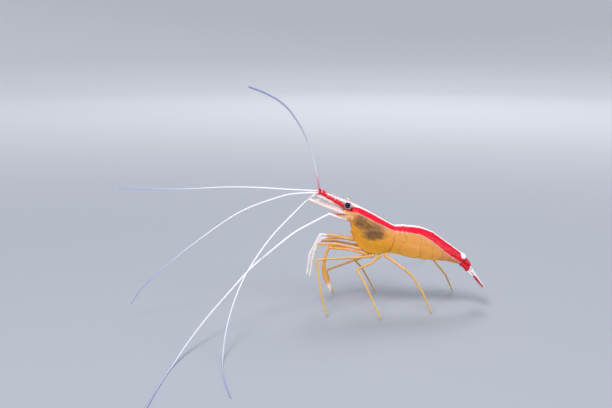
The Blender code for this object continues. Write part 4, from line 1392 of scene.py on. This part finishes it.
def podomere(skin, path, radii, span_marks, sides=14):
    """One limb segment along a path: rounded near end, waisted shaft and flared rim with a socket.

    span_marks holds the limb's share at the segment's start and end, for the pattern.
    """
    parts = PODOMERE_PARTS
    dense = [curve_point(path, k / parts) for k in range(parts + 1)]
    run = distances(dense)
    span = run[-1]
    r0, r1 = radii
    squeeze = min(1.0, span / (2.0 * (r0 + r1)))
    near = ((-0.5, 0.45), (-0.34, 0.75), (-0.05, 0.94), (0.4, 0.99), (0.95, 0.95))
    far = ((-1.1, 0.95), (-0.4, 1.04), (0.04, 1.08), (0.12, 1.01), (0.05, 0.88), (-0.25, 0.66))
    stations = [(d * r0 * squeeze, r0 * size) for d, size in near]
    for part in (0.28, 0.4, 0.52, 0.64, 0.76):
        if 1.1 * r0 * squeeze < span * part < span - 1.3 * r1 * squeeze:
            waist = 0.90 + 0.03 * sin(9 * part + span)
            stations.append((span * part, (r0 + (r1 - r0) * part) * waist))
    stations += [(span + d * r1 * squeeze, r1 * size) for d, size in far]
    start, end = ((there - here).normalized() for here, there in (dense[:2], dense[-2:]))
    across = Y_AXIS if abs((dense[-1] - dense[0]).normalized().y) < 0.8 else Vector((1, 0, 0))
    rings, patterns = [], []
    for d, radius in stations:
        if d <= 0:
            spot = dense[0] + start * d
        elif d >= span:
            spot = dense[-1] + end * (d - span)
        else:
            k = min(max(i for i in range(parts + 1) if run[i] <= d), parts - 1)
            spot = dense[k].lerp(dense[k + 1], (d - run[k]) / max(1e-6, run[k + 1] - run[k]))
        k = min(range(parts + 1), key=lambda i: (dense[i] - spot).length_squared)
        ahead = (dense[min(k + 1, parts)] - dense[max(k - 1, 0)]).normalized()
        across = (across - ahead * across.dot(ahead)).normalized()
        rings.append(ring_round(spot, ahead, across, radius, sides, PODOMERE_FLATNESS))
        local = min(1.0, max(0.0, d / span))
        patterns.append((span_marks[0] + (span_marks[1] - span_marks[0]) * local, local, 0.5))
    skin.loft(rings, patterns)
    return dense


def round_edges(s):
    """Both sides of a leaf that widens fast, stays broad and rounds off at its tip."""
    half = max(0.03, sin(pi * min(1.0, 0.10 + 0.90 * s)) ** 0.55)
    return -half, half


def plain_relief(s, c):
    """A low rib along the middle of a leaf."""
    return 0.35 * hump(c, 0, 0.18) * (1 - s)


def leaf(skin, path, across, width, thickness, edges, relief, finish, steps, cells, pattern=None):
    """A leaf along a path: edges(s) gives its sides in half widths, relief(s, c) extra thicknesses.

    Gives back the leaf's border as rows of (s, low point, high point, direction to the high side, ahead).
    """
    rings, patterns, border = [], [], []
    last = len(path) - 1
    for i in range(steps + 1):
        s = i / steps
        u, middle = last * s, curve_point(path, s)
        ahead = (spline(path, min(u + 0.01, last)) - spline(path, max(u - 0.01, 0))).normalized()
        flat = (across - ahead * across.dot(ahead)).normalized()
        normal = ahead.cross(flat).normalized()
        low, high = edges(s)
        upper, lower, values = [], [], []
        for j in range(cells + 1):
            e = 2 * j / cells - 1
            c = (low + high) / 2 + (high - low) / 2 * sin(pi / 2 * e)
            bulk = thickness / 2 * (0.28 + 0.72 * max(0.0, 1 - abs(e) ** 3))
            base = middle + flat * c * width / 2
            upper.append(base + normal * (bulk + thickness * relief(s, c)))
            lower.append(base - normal * bulk)
            values.append(pattern(s, c) if pattern else (0.5, s, c))
        rings.append(upper + lower[-2:0:-1])
        patterns.append(values + values[-2:0:-1])
        border.append((s, upper[0], upper[-1], flat, ahead))
    skin.loft(rings, patterns, finish)
    return border


def feeler_stem(skin, segments, sign):
    """The segments of a feeler's stem, mirrored to one side."""
    for places, radii, marks, sides in segments:
        podomere(skin, [mirrored(place, sign) for place in places], radii, marks, sides)


def build_antennules(context):
    """The red three-jointed stems that carry the paired feelers."""
    red = shared_finish("stem red", plain_finish, (0.92, 0.004, 0.014), (0.62, 0.0, 0.012),
                        0.6, 0.3, 0.02, 0.15)
    pale = shared_finish("stem pale", plain_finish, (0.90, 0.82, 0.84), (0.80, 0.50, 0.52), 0.5, 0.3)
    for side, sign in SIDES.items():
        def at(*spot):
            return mirrored(spot, sign)

        skin = Skin()
        feeler_stem(skin, ANTENNULE_SEGMENTS, sign)
        horn(skin, [at(12.2, 1.6, 28.6), at(11.0, 1.95, 29.6), at(9.3, 1.95, 30.9)], (0.32, 0.24, 0.02),
             MIDDLE, 10, 0, 0.6)
        for x, z in ((8.15, 31.55), (6.25, 32.65), (4.5, 33.8)):
            for k in range(7):
                a = pi * (0.1 + 0.8 * k / 6)
                out = Vector((0.5 * sin(a), sign * cos(a), 0.85 * sin(a)))
                root = at(x, 1.25, z) + out * 0.56
                path = [root - out * 0.08]
                path += [root + Vector(step) for step in ((-0.14, 0, 0.09), (-0.27, 0, 0.17))]
                horn(skin, path, (0.06, 0.045, 0.008), MIDDLE, 6, 1)
        for x, y, z in ((4.2, 1.45, 34.05), (4.1, 1.05, 33.75)):
            podomere(skin, [at(x + 0.4, y, z - 0.25), at(x - 0.25, y, z + 0.12)], (0.36, 0.32), (0.9, 1))
        skin.piece(f"antennule_stem_{side}", [red, pale], [f"antennule_{side}"], "red")


def scale_edges(s):
    """Both sides of an antennal scale: a straight outer one, and an inner one that rounds off."""
    start = 0.45 + 0.55 * ease(0.0, 0.18, s)
    taper = max(0.02, 1 - ease(0.80, 1.0, s) ** 2)
    return -0.98 * start * (1 - 0.10 * s), start * taper * (1 - 0.30 * ease(0.45, 1.0, s))


def scale_relief(s, c):
    """Ribs along an antennal scale, the strongest near its outer side."""
    ribs = 0.55 * hump(c, -0.84, 0.10) + 0.30 * hump(c, -0.38, 0.09) + 0.22 * hump(c, 0.05, 0.08)
    return (ribs + 0.04 * sin(c * 40)) * (1 - 0.6 * s)


def build_antenna_bases(context):
    """The stout bases of the antennae and their broad leaf-shaped scales with fringes."""
    base = shared_finish("antenna base", antenna_base_finish)
    scale = shared_finish("antennal scale", scale_finish)
    for side, sign in SIDES.items():
        skin = Skin()
        feeler_stem(skin, ANTENNA_SEGMENTS, sign)
        for places, radii in ANTENNA_SPINES:
            horn(skin, [mirrored(place, sign) for place in places], radii, (0.3, 0.5, 0.5), 10)
        skin.piece(f"antenna_stem_{side}", [base], [f"antenna_base_{side}"], "limb")
        skin = Skin()
        path = [mirrored(place, sign) for place in SCALE_LINE]
        across = Vector((0, -sign, 0.25))
        if side == "right":
            path = [spot + Vector((0, 0, 0.15 * k)) for k, spot in enumerate(path)]
            across = Vector((0, -1, -0.12))
        border = leaf(skin, path, across, 2.45, 0.34, scale_edges, scale_relief, 0, 60, 26)
        _, low, _, flat, ahead = border[-4]
        horn(skin, [low - ahead * 0.8 + flat * 0.1, low + flat * 0.05, low + ahead * 0.75],
             (0.15, 0.12, 0.01), (0.5, 1.0, -1.0), 8, 0, 0.7)
        skin.piece(f"scale_leaf_{side}", [scale], [f"antennal_scale_{side}"], "white")
        fringe = Bristles(context, 2)
        for (s, _, high, flat, ahead), (_, _, after, _, _) in zip(border[8:], border[9:]):
            for part in (0.0, 0.33, 0.66):
                lean = flat * (1.0 - 0.6 * s) + ahead * (0.7 + 0.8 * s)
                fringe.add(high.lerp(after, part), lean, 0.62, 0.08)
        fringe.grow(f"scale_fringe_{side}", "white")


# ---- limbs and feelers

class LimbPath:
    """A limb's joints, with points between them found by joint number."""

    def __init__(self, name):
        self.spots = [Vector(joint[:3]) for joint in LIMBS[name]]
        self.radii = [joint[3] for joint in LIMBS[name]]
        self.run = distances(self.spots)
        self.end, self.ahead = self.spots[-1], (self.spots[-1] - self.spots[-2]).normalized()

    def at(self, q):
        """The point at joint number q."""
        return between(self.spots, q)

    def piece(self, skin, start, end, scale, sides=14, rounded=0.0):
        """One segment between joint numbers, through the joints between them."""
        inner = [self.spots[q] for q in range(ceil(start + 1e-6), floor(end - 1e-6) + 1)]
        middle = (self.at(start) + self.at(end)) / 2
        path = [self.at(start), *(spot.lerp(middle, rounded) for spot in inner), self.at(end)]
        radii = [between(self.radii, q) * size for q, size in zip((start, end), scale)]
        marks = [between(self.run, q) / self.run[-1] for q in (start, end)]
        return podomere(skin, path, radii, marks, sides)

    def root(self, skin, sign, inward):
        """Coxa and basis, which come out of the body. Gives back where the next segment starts."""
        root, r = self.spots[0], self.radii[0]
        ahead = (self.spots[1] - root).normalized()
        hidden = root + Vector((inward[0], -sign * inward[1], inward[2]))
        podomere(skin, [hidden, root], (r * 1.55, r * 1.38), (0, 0.02), 16)
        podomere(skin, [root - ahead * 0.12, root + ahead * 0.75], (r * 1.22, r * 1.15), (0.02, 0.05), 16)
        return 0.55 / self.run[1]


def spines(skin, path, radius, places, lean, size):
    """Small movable spines along a segment's path, leaning towards its tip."""
    for place in places:
        k = min(len(path) - 2, int(place * (len(path) - 1)))
        spot, ahead = path[k], (path[k + 1] - path[k]).normalized()
        side = (lean - ahead * lean.dot(ahead)).normalized()
        root = spot + side * radius * 0.7
        horn(skin, [root, root + (side * 0.6 + ahead * 0.4) * size, root + (side * 0.8 + ahead) * size],
             (size * 0.22, size * 0.16, 0.008), (0.99, 0.5, 0.5), 6)


def hairs(fringe, segments, radius, count, reach, dice):
    """Sparse bristles all round each segment, leaning towards its tip."""
    for path in segments:
        for _ in range(count):
            k = dice.randrange(2, len(path) - 2)
            spot, ahead = path[k], (path[k + 1] - path[k]).normalized()
            a = dice.uniform(0, 2 * pi)
            across = ahead.orthogonal().normalized()
            out = across * cos(a) + ahead.cross(across) * sin(a)
            fringe.add(spot + out * radius * 0.75, out + ahead * 0.9, reach * dice.uniform(0.6, 1.1), 0.1)


def claw(skin, path, radius, fringe):
    """A fixed and a movable finger on a limb's end, closing with crossed, hooked tips."""
    ahead, reach, mark = path.ahead, 1.12, (0.985, 0.5, 0.5)
    apart = ahead.cross(Y_AXIS).normalized()
    for way in (apart, -apart):
        base = path.end + way * radius * 0.48 - ahead * 0.12
        spots = [base, base + ahead * reach * 0.35 + way * radius * 0.30,
                 base + ahead * reach * 0.75 + way * radius * 0.12, path.end + ahead * reach - way * 0.02]
        horn(skin, spots, (radius * 0.55, radius * 0.46, radius * 0.30, 0.02), mark, 10, 0, 0.8)
        for k in range(5):
            root = spots[0].lerp(spots[1], 0.4).lerp(spots[3], 0.22 * k)
            horn(skin, [root, root - way * radius * 0.30], (0.05, 0.01), mark, 6)
        for k in range(8):
            lean = ahead * 0.8 + way + Y_AXIS * (0.5 - k % 2)
            fringe.add(spots[2].lerp(spots[3], k / 10), lean, 0.34, 0.3)


def ringed_wrist(skin, path):
    """A wrist of many short rings, each flaring a little over the next."""
    fine = 300
    curve = [spline(path, (len(path) - 1) * k / fine) for k in range(fine + 1)]
    run = list(zip(distances(curve), range(fine + 1)))
    flare = (0.93, 0.975, 1.0, 1.01, 1.015)
    steps = WRIST_RINGS * len(flare)
    spots, radii, patterns = [], [], []
    for k in range(steps + 1):
        q, along = table_value(run, run[-1][0] * k / steps), k / steps
        spots.append(between(curve, q))
        radii.append((0.36 + 0.02 * along) * flare[k % len(flare)])
        patterns.append((0.55 + 0.36 * along, 0.5 if k % len(flare) else 0.06, 0.5))
    skin.loft(tube_rings(spots, radii, 16, 0.88), patterns)


def build_maxillipeds(context):
    """The long third maxillipeds, white beyond their elbow, with a brush along the inner side."""
    finish = elbow_white(context)
    for side, sign in SIDES.items():
        name = f"maxilliped_{side}"
        path, skin, fringe = LimbPath(name), Skin(), Bristles(context, 3)
        start = path.root(skin, sign, (0.9, 0.1, 0.5))
        segments = [path.piece(skin, *row) for row in (
            (start, 0.42, (1.05, 1.0), 16), (0.40, 1.98, (0.98, 0.92), 18),
            (2.0, 2.98, (1.30, 1.34), 18), (3.0, 3.93, (1.32, 1.05), 16))]
        tip = [path.end + path.ahead * further for further in (-0.5, -0.15, 0.25)]
        horn(skin, tip, (0.25, 0.17, 0.01), (1, 0.5, 0.5), 10)
        branch = [path.spots[0] + mirrored(step, sign) for step in
                  ((-0.3, 0.3, 0.2), (-2.2, 0.85, 0.5), (-4.4, 1.1, 1.0))]
        horn(skin, branch, (0.17, 0.12, 0.04), (0.1, 0.5, 0.5))
        skin.piece(f"{name}_limb", [finish], [name], "white")
        for segment, radius, reach in zip(segments[2:], (0.44, 0.34), (0.28, 0.44)):
            for here, there in zip(segment[3:46], segment[4:]):
                ahead = (there - here).normalized()
                for spread in (-0.5, -0.15, 0.15, 0.5):
                    out = Vector((0.75, spread - sign * 0.55, 0.1 + spread * 0.3)).normalized()
                    fringe.add(here + out * radius * 0.7, out + ahead * 0.7, reach, 0.12)
        hairs(fringe, segments[-1:], 0.27, 40, 0.3, random.Random(3))
        fringe.grow(f"{name}_brush", "white")


def build_chelipeds(context):
    """Both pairs of clawed legs. The second pair's long wrist is made of many short rings."""
    first = shared_finish("first claw", limb_finish, (0.82, 0.40, 0.09), (0.88, 0.84, 0.82),
                          (0.655, 0.70), 0.2)
    second = shared_finish("second claw", limb_finish, context.scene.shrimp_limbs.orange,
                           (0.88, 0.78, 0.62), (0.93, 0.98), 0.2)
    for side, sign in SIDES.items():
        fringe, dice = Bristles(context, 4), random.Random(4)
        name = f"cheliped_1_{side}"
        path, skin = LimbPath(name), Skin()
        start = path.root(skin, sign, (0.5, 0.3, 0.8))
        segments = [path.piece(skin, *row) for row in (
            (start, 0.52, (1.0, 0.95)), (0.52, 0.985, (0.92, 0.95)), (1.0, 1.97, (0.92, 1.0)),
            (2.0, 2.95, (0.92, 1.08)), (3.0, 4.0, (0.92, 1.30)))]
        claw(skin, path, 0.31, fringe)
        hairs(fringe, segments[1:], 0.34, 14, 0.3, dice)
        skin.piece(f"{name}_limb", [first], [name], "limb")

        name = f"cheliped_2_{side}"
        path, skin = LimbPath(name), Skin()
        start = path.root(skin, sign, (0.3, 0.35, 0.8))
        segments = [path.piece(skin, *row) for row in (
            (start, 0.98, (0.95, 0.92)), (1.0, 1.97, (0.92, 0.95)))]
        wrist = [path.at(q) for q in (2.0, 3.0, 4.0, 5.0, 5.45)]
        wrist[1:-1] = [spot.lerp((a + b) / 2, -0.04) for a, spot, b in zip(wrist, wrist[1:], wrist[2:])]
        ringed_wrist(skin, wrist)
        segments.append(path.piece(skin, 5.45, 6.0, (0.92, 1.35)))
        claw(skin, path, 0.27, fringe)
        hairs(fringe, segments, 0.3, 12, 0.28, dice)
        skin.piece(f"{name}_limb", [second], [name], "limb")
        fringe.grow(f"cheliped_hairs_{side}", "limb")


def build_walking_legs(context):
    """The three pairs of slender walking legs, each ending in a hooked claw with spinules."""
    limbs = context.scene.shrimp_limbs
    finish = shared_finish("walking leg", limb_finish, limbs.tan, limbs.gold, (0.25, 0.7), 0.3)
    below, rear = Vector((0.2, 0, -1)), Vector((1, 0, -0.3))
    for side, sign in SIDES.items():
        outward = Vector((0, sign, 0))
        fringe, dice = Bristles(context, 5), random.Random(5)
        for number in (3, 4, 5):
            name = f"walking_leg_{number}_{side}"
            path, skin = LimbPath(name), Skin()
            start = path.root(skin, sign, (0.0, 0.45, 0.9))
            claw_start = len(path.spots) - 1 - 1.25 / (path.run[-1] - path.run[-2])
            segments = [path.piece(skin, *row) for row in (
                (start, 0.985, (1.0, 0.98), 16), (1.0, 1.975, (0.96, 0.98), 16),
                (2.0, 2.97, (0.96, 0.98), 16), (3.0, claw_start, (0.96, 0.78), 16, 0.12))]
            spines(skin, segments[1], 0.33, (0.3, 0.5, 0.7, 0.86), below, 0.26)
            spines(skin, segments[3], 0.28, [0.12 + 0.11 * k for k in range(8)], rear, 0.18)
            wrist, end = path.at(claw_start), path.end
            ahead = (end - wrist).normalized()
            bent = wrist.lerp(end, 0.5) + outward * 0.06 - ahead.cross(outward).normalized() * 0.05
            horn(skin, [wrist - ahead * 0.18, bent, Vector((end.x, end.y, 0.03))], (0.215, 0.15, 0.012),
                 (1.0, 0.5, 0.5), 12)
            for k in range(3):
                root = wrist.lerp(end, 0.35 + 0.17 * k)
                horn(skin, [root, root + rear * 0.16 + ahead * 0.12], (0.06, 0.008), (1.0, 0.5, 0.5), 6)
            hairs(fringe, segments[1:], 0.31, 20, 0.32, dice)
            skin.piece(f"{name}_limb", [finish], [name], "limb")
        fringe.grow(f"leg_hairs_{side}", "limb")


def build_feelers(context):
    """The four feelers of the antennules and the two long antennae, ring by ring."""
    settings = context.scene.shrimp_feelers
    plain = shared_finish("feeler", feeler_finish, settings)
    blushed = shared_finish("upright feeler", feeler_finish, settings, (0.04, 0.18), 0.45)
    for name, route in FEELERS.items():
        upright, antenna = name == "antennule_outer_left", name.startswith("antenna_")
        ahead = (Vector(route[1]) - Vector(route[0])).normalized()
        route = [Vector(route[0]) - ahead * 0.45, *route]
        points = []
        for k in range(FEELER_PARTS + 1):
            spot = spline(route, (len(route) - 1) * k / FEELER_PARTS)
            radius = (settings.root + (settings.tip - settings.root) * k / FEELER_PARTS) / MM
            points.append((spot.x, spot.y, max(spot.z, radius * 1.06 * (1 + settings.relief))))
        edges = [(k, k + 1) for k in range(FEELER_PARTS)]
        scale, stout = 1.0 if antenna else 0.88, 1.15 if upright else 1.0
        mesh = run_tree(f"{name}_feeler", shared("ringed feeler", build_feeler_tree), points, edges, {}, {
            "Ring Length": settings.ring, "Root Radius": settings.root * scale * stout,
            "Tip Radius": settings.tip * scale * stout ** 5, "Relief": settings.relief, "Sides": 10,
            "Start": 0.06 if antenna else 0.0, "Finish": blushed if upright else plain})
        finished_piece(f"{name}_feeler", closed(mesh), [name])


# ---- swimmerets and tail fan

def leaf_fringe(fringe, border, reach, ways=(-1, 1), parts=3):
    """Bristles along a leaf's border on the low side (-1), the high side (1) or both."""
    for (s, *here, flat, ahead), (_, *there, _, _) in zip(border, border[1:]):
        for part in range(parts):
            for way in ways:
                root = here[way > 0].lerp(there[way > 0], part / parts)
                aim = flat * way * (1.05 - 0.75 * s) + ahead * (0.55 + 1.1 * s * s)
                fringe.add(root, aim, reach, 0.06)


def build_swimmerets(context):
    """Five pairs of two-leaved swimmerets folded back under the abdomen, with fringes."""
    finish = shared_finish("swimmeret", plain_finish, (0.84, 0.50, 0.20), (0.88, 0.66, 0.42),
                           0.7, 0.32, 0.02, 0.3)
    fringe = Bristles(context, 6)
    for k in range(5):
        here = section(ABDOMEN_ROWS, k + 0.3)
        up, rear = here.up, here.rear
        arch = EDGE * here.row.half_width - WALL
        for side, sign in SIDES.items():
            skin = Skin()
            root = here.bottom + up * 0.8 + Y_AXIS * sign * arch * 0.45
            tip = root + rear * (2.6 - 0.15 * k) - up * (0.6 - 0.12 * k)
            ahead = (tip - root).normalized()
            podomere(skin, [root + up * 0.7 - rear * 0.1, root + ahead * 0.55],
                     (arch * 0.22, arch * 0.17), (0, 0.3))
            for shift, width, size, rise in ((0.14, 0.56, 1.0, 0.0), (-0.16, 0.40, 0.86, 0.18)):
                aside = Y_AXIS * sign * arch * shift
                path = [root + ahead * 0.4 + aside * 0.5, root.lerp(tip, 0.55) + aside - up * 0.12,
                        root.lerp(tip, size) + aside + up * rise]
                border = leaf(skin, path, Y_AXIS, arch * width, 0.16, round_edges, plain_relief,
                              0, 22, 10)
                leaf_fringe(fringe, border[5:], 0.42, parts=2)
            skin.piece(f"swimmeret_{k + 1}_{side}", [finish], [f"pleopod_{k + 1}_{side}"], "limb")
    fringe.grow("swimmeret_fringe", "limb")


def telson_edges(s):
    """Both sides of the telson, which narrows evenly to a blunt end."""
    half = (0.62 + 0.38 * ease(0.0, 0.14, s)) * (1 - 0.62 * s ** 0.9)
    half *= max(0.05, 1 - ease(0.94, 1.0, s) ** 2 * 0.8)
    return -half, half


def telson_relief(s, c):
    """The telson's arched back with a groove along its middle."""
    return (0.85 * (1 - min(1, abs(c) / 0.95) ** 2) - 0.30 * hump(c, 0, 0.12)) * (1 - 0.6 * s)


def telson_marks(s, c):
    """White from a quarter of the telson on, with red sides."""
    return min((s - 0.25) * 2, 0.74 - abs(c)) * 1.2, s, c


def outer_edges(s):
    """Both sides of an outer blade: a straight outer one with a tooth, and a rounded inner one."""
    taper = max(0.05, 1 - ease(0.84, 1.0, s) ** 2 * 0.93)
    start = 0.32 + 0.68 * ease(0.0, 0.3, s)
    return -0.92 * start * (taper if s > 0.9 else 1.0), start * taper


def outer_relief(s, c):
    """Ribs along an outer blade and a seam across it."""
    rib = 0.6 * hump(c, -0.8, 0.12) + 0.45 * hump(c, -0.15, 0.10) + 0.25 * hump(c, 0.3, 0.09)
    return rib * (1 - 0.5 * s) - 0.28 * hump(s, 0.74 + 0.05 * c, 0.02)


def inner_relief(s, c):
    """Ribs along an inner blade."""
    rib = 0.6 * hump(c, -0.1, 0.14) + 0.25 * hump(c, 0.45, 0.08) + 0.25 * hump(c, -0.6, 0.08)
    return rib * (1 - 0.5 * s)


def uropod_marks(end):
    """A blade's white patch, which ends at share end of its length."""
    return lambda s, c: (min((end - s + 0.05 * c) * 2.0, (s - 0.17) * 6), s, c)


def build_tail_fan(context):
    """The telson over two pairs of fringed uropods, which grow from a stout base on each side."""
    settings = context.scene.shrimp_tail
    finish, thick = shared_finish("tail", tail_finish, settings), settings.thickness / MM
    skin, fringe = Skin(), Bristles(context, 7)
    path = [Vector((x, 0, z)) for x, z in ((45.0, 14.7), (47.3, 11.9), (49.3, 8.95), (51.35, 6.15))]
    border = leaf(skin, path, Y_AXIS, 2.4, thick, telson_edges, telson_relief, 0, 60, 22, telson_marks)
    ball(skin, (45.35, 0, 14.80), (0.84, 1.38, 0.92), (0.6, 0.1, 0.0), 0, 0.7)
    ball(skin, (46.35, 0, 13.10), (2.0, 1.22, 0.90), (-0.5, 0.3, 0.0), 0, 0.92)
    ball(skin, (45.2, 0, 13.2), (1.2, 1.0, 0.95), (-0.5, 0.3, 0.0), 0, 0.8)

    def spine(root, steps, radii):
        """A spine on the telson, through steps from its root."""
        horn(skin, [root + step for step in steps], radii, (0.5, 0.9, 0.0), 6)

    _, low, high, flat, ahead = border[-2]
    for edge, way in ((low, -1), (high, 1)):
        for shift, reach in ((0.0, 0.45), (-0.14, 0.85)):
            steps = (ahead * -0.15, ahead * reach * 0.5, ahead * reach)
            spine(edge + flat * way * shift, steps, (0.07, 0.05, 0.008))
    for _, low, high, flat, ahead in (border[26], border[40]):
        normal = ahead.cross(flat).normalized()
        for edge, way in ((low, -1), (high, 1)):
            steps = (ahead * 0, normal * 0.12 + ahead * 0.2, normal * 0.14 + ahead * 0.42)
            spine(edge - flat * way * 0.22 + normal * 0.05, steps, (0.06, 0.045, 0.008))
    leaf_fringe(fringe, border[-6:], 0.6, parts=4)
    skin.piece("telson_blade", [finish], ["telson"], "red")

    for side, sign in SIDES.items():
        skin = Skin()
        joints = [mirrored(joint, sign) for joint in UROPOD_BASE]
        podomere(skin, joints, (0.62, 0.72), (-1.0, -0.5), 20)
        steps = ((1, (0.3, 0.35, -0.2)), (2, (0.3, 0.5, -0.3)), (2, (0.8, 0.62, -0.85)))
        horn(skin, [joints[k] + mirrored(step, sign) for k, step in steps], (0.3, 0.2, 0.015),
             (-0.5, 0.3, 0.0), 10)
        skin.piece(f"uropod_stem_{side}", [finish], [f"uropod_base_{side}"], "red")
        for name, patch_end, edges, relief in (("uropod_inner", 0.50, round_edges, inner_relief),
                                               ("uropod_outer", 0.45, outer_edges, outer_relief)):
            *ends, width = TAIL_BLADES[name]
            root, tip = (mirrored(end, sign) for end in ends)
            middle = root.lerp(tip, 0.45) + Vector((0.05, sign * 0.12, 0.05))
            path = [root - (tip - root).normalized() * 1.1, middle, tip]
            skin = Skin()
            border = leaf(skin, path, Vector((0, -sign, -0.08)), width, thick * 0.7, edges, relief,
                          0, 50, 20, uropod_marks(patch_end))
            if name == "uropod_outer":
                _, low, _, flat, ahead = border[43]
                horn(skin, [low - ahead * 0.5 + flat * 0.1, low + flat * 0.04, low + ahead * 0.45],
                     (0.12, 0.09, 0.01), (-0.5, 0.9, 0.0))
                leaf_fringe(fringe, border[14:], 0.55, (1,))
                leaf_fringe(fringe, border[43:], 0.55, (-1,))
            else:
                leaf_fringe(fringe, border[14:], 0.55)
            skin.piece(f"{name}_blade_{side}", [finish], [f"{name}_{side}"], "red")
    fringe.grow("tail_fringe", "red")


# ---- stage

def build_stage(context):
    """A pale floor that curves up far away, soft lights and the camera."""
    settings, scene = context.scene.shrimp_stage, context.scene
    level = CAD_BOUNDS[0][2]
    profile = [(r, 0.0) for r in (0.05, 0.2, 0.4, 0.6, 0.8)]
    profile += [(0.8 + 0.6 * sin(a), 0.6 * (1 - cos(a))) for a in (0.3, 0.6, 0.9, 1.2)]
    sides = 72
    vertices = [(ORIGIN.x, ORIGIN.y, level)]
    for r, h in profile:
        vertices += [(ORIGIN.x + r * cos(a), ORIGIN.y + r * sin(a), level + h) for a in turns(sides)]
    faces = [(0, 1 + k, 1 + (k + 1) % sides) for k in range(sides)]
    for i in range(len(profile) - 1):
        here = 1 + i * sides
        faces += [(here + k, here + sides + k, here + sides + (k + 1) % sides, here + (k + 1) % sides)
                  for k in range(sides)]
    mesh = bpy.data.meshes.new("floor")
    mesh.from_pydata(vertices, [], faces)
    mesh.shade_smooth()
    made = Finish("floor", Roughness=0.85)
    away = vector_calc("LENGTH", vector_calc("MULTIPLY", made.place, (MM, MM, 0.0)))
    mesh.materials.append(made.paint(blend(away.ramp(0.1, 0.85), settings.floor, settings.wall)))
    placed("floor", mesh)

    target = point((5.0, 0.0, 22.0))
    for name, place, size, power in (("key_light", (-0.22, -0.42, 0.62), 0.36, 4.6),
                                     ("fill_light", (0.55, -0.45, 0.30), 0.60, 1.8),
                                     ("rim_light", (0.10, 0.55, 0.55), 0.40, 2.4)):
        data = bpy.data.lights.new(name, "AREA")
        data.shape, data.size, data.energy = "DISK", size, power
        light = placed(name, data)
        light.location = target + Vector(place)
        light.rotation_euler = (target - light.location).to_track_quat("-Z", "Y").to_euler()
    scene.world = bpy.data.worlds.new("studio")
    scene.world.use_nodes = True
    sky = scene.world.node_tree.nodes["Background"].inputs
    sky["Color"].default_value, sky["Strength"].default_value = (0.86, 0.90, 1.0, 1), 0.42
    scene.view_settings.view_transform = "Standard"

    distance, tilt = settings.distance / MM, settings.elevation
    data = bpy.data.cameras.new("camera")
    data.sensor_width = 36.0
    data.lens = data.sensor_width * settings.distance / settings.field
    data.clip_start = 0.01
    scene.camera = placed("camera", data)
    scene.camera.location = point((0.0, -distance * cos(tilt),
                                   settings.aim_height / MM + distance * sin(tilt)))
    scene.camera.rotation_euler = (pi / 2 - tilt, 0, 0)


# ---- operators, panel, registration

def operator(name, label, build):
    """An operator that runs one of the build functions."""
    def execute(self, context):
        build(context)
        return {"FINISHED"}
    return type(f"SHRIMP_OT_{name}", (bpy.types.Operator,), {
        "__doc__": build.__doc__, "bl_idname": f"shrimp.{name}", "bl_label": label, "execute": execute})


STEPS = (
    operator("carapace", "Carapace", build_carapace),
    operator("abdomen", "Abdomen", build_abdomen),
    operator("sternum", "Sternum", build_sternum),
    operator("mouthparts", "Mouthparts", build_mouthparts),
    operator("eyes", "Eyes", build_eyes),
    operator("antennules", "Antennules", build_antennules),
    operator("antenna_bases", "Antenna bases", build_antenna_bases),
    operator("maxillipeds", "Maxillipeds", build_maxillipeds),
    operator("chelipeds", "Clawed legs", build_chelipeds),
    operator("walking_legs", "Walking legs", build_walking_legs),
    operator("feelers", "Feelers", build_feelers),
    operator("swimmerets", "Swimmerets", build_swimmerets),
    operator("tail_fan", "Tail fan", build_tail_fan),
    operator("stage", "Stage", build_stage),
)


class SHRIMP_PT_panel(bpy.types.Panel):
    """Sizes, colours and build steps of the cleaner shrimp."""
    bl_label = "Cleaner Shrimp"
    bl_idname = "SHRIMP_PT_panel"
    bl_space_type = "VIEW_3D"
    bl_region_type = "UI"
    bl_category = "Shrimp"

    def draw(self, context):
        """List every setting and every step."""
        for name, kind in SETTINGS.items():
            box = self.layout.box()
            box.label(text=kind.__doc__.rstrip("."))
            for prop in kind.__annotations__:
                box.prop(getattr(context.scene, name), prop)
        for step in STEPS:
            self.layout.operator(step.bl_idname)


def register():
    """Register the settings, the steps and the panel."""
    for name, kind in SETTINGS.items():
        bpy.utils.register_class(kind)
        setattr(bpy.types.Scene, name, PointerProperty(type=kind))
    for kind in (*STEPS, SHRIMP_PT_panel):
        bpy.utils.register_class(kind)


def unregister():
    """Take them out again, last first."""
    for kind in (SHRIMP_PT_panel, *reversed(STEPS)):
        bpy.utils.unregister_class(kind)
    for name, kind in reversed(SETTINGS.items()):
        delattr(bpy.types.Scene, name)
        bpy.utils.unregister_class(kind)


def main():
    """Build every piece and the stage, then write the sizes."""
    register()
    for step in STEPS:
        getattr(bpy.ops.shrimp, step.bl_idname.split(".")[1])()


if __name__ == "__main__":
    main()
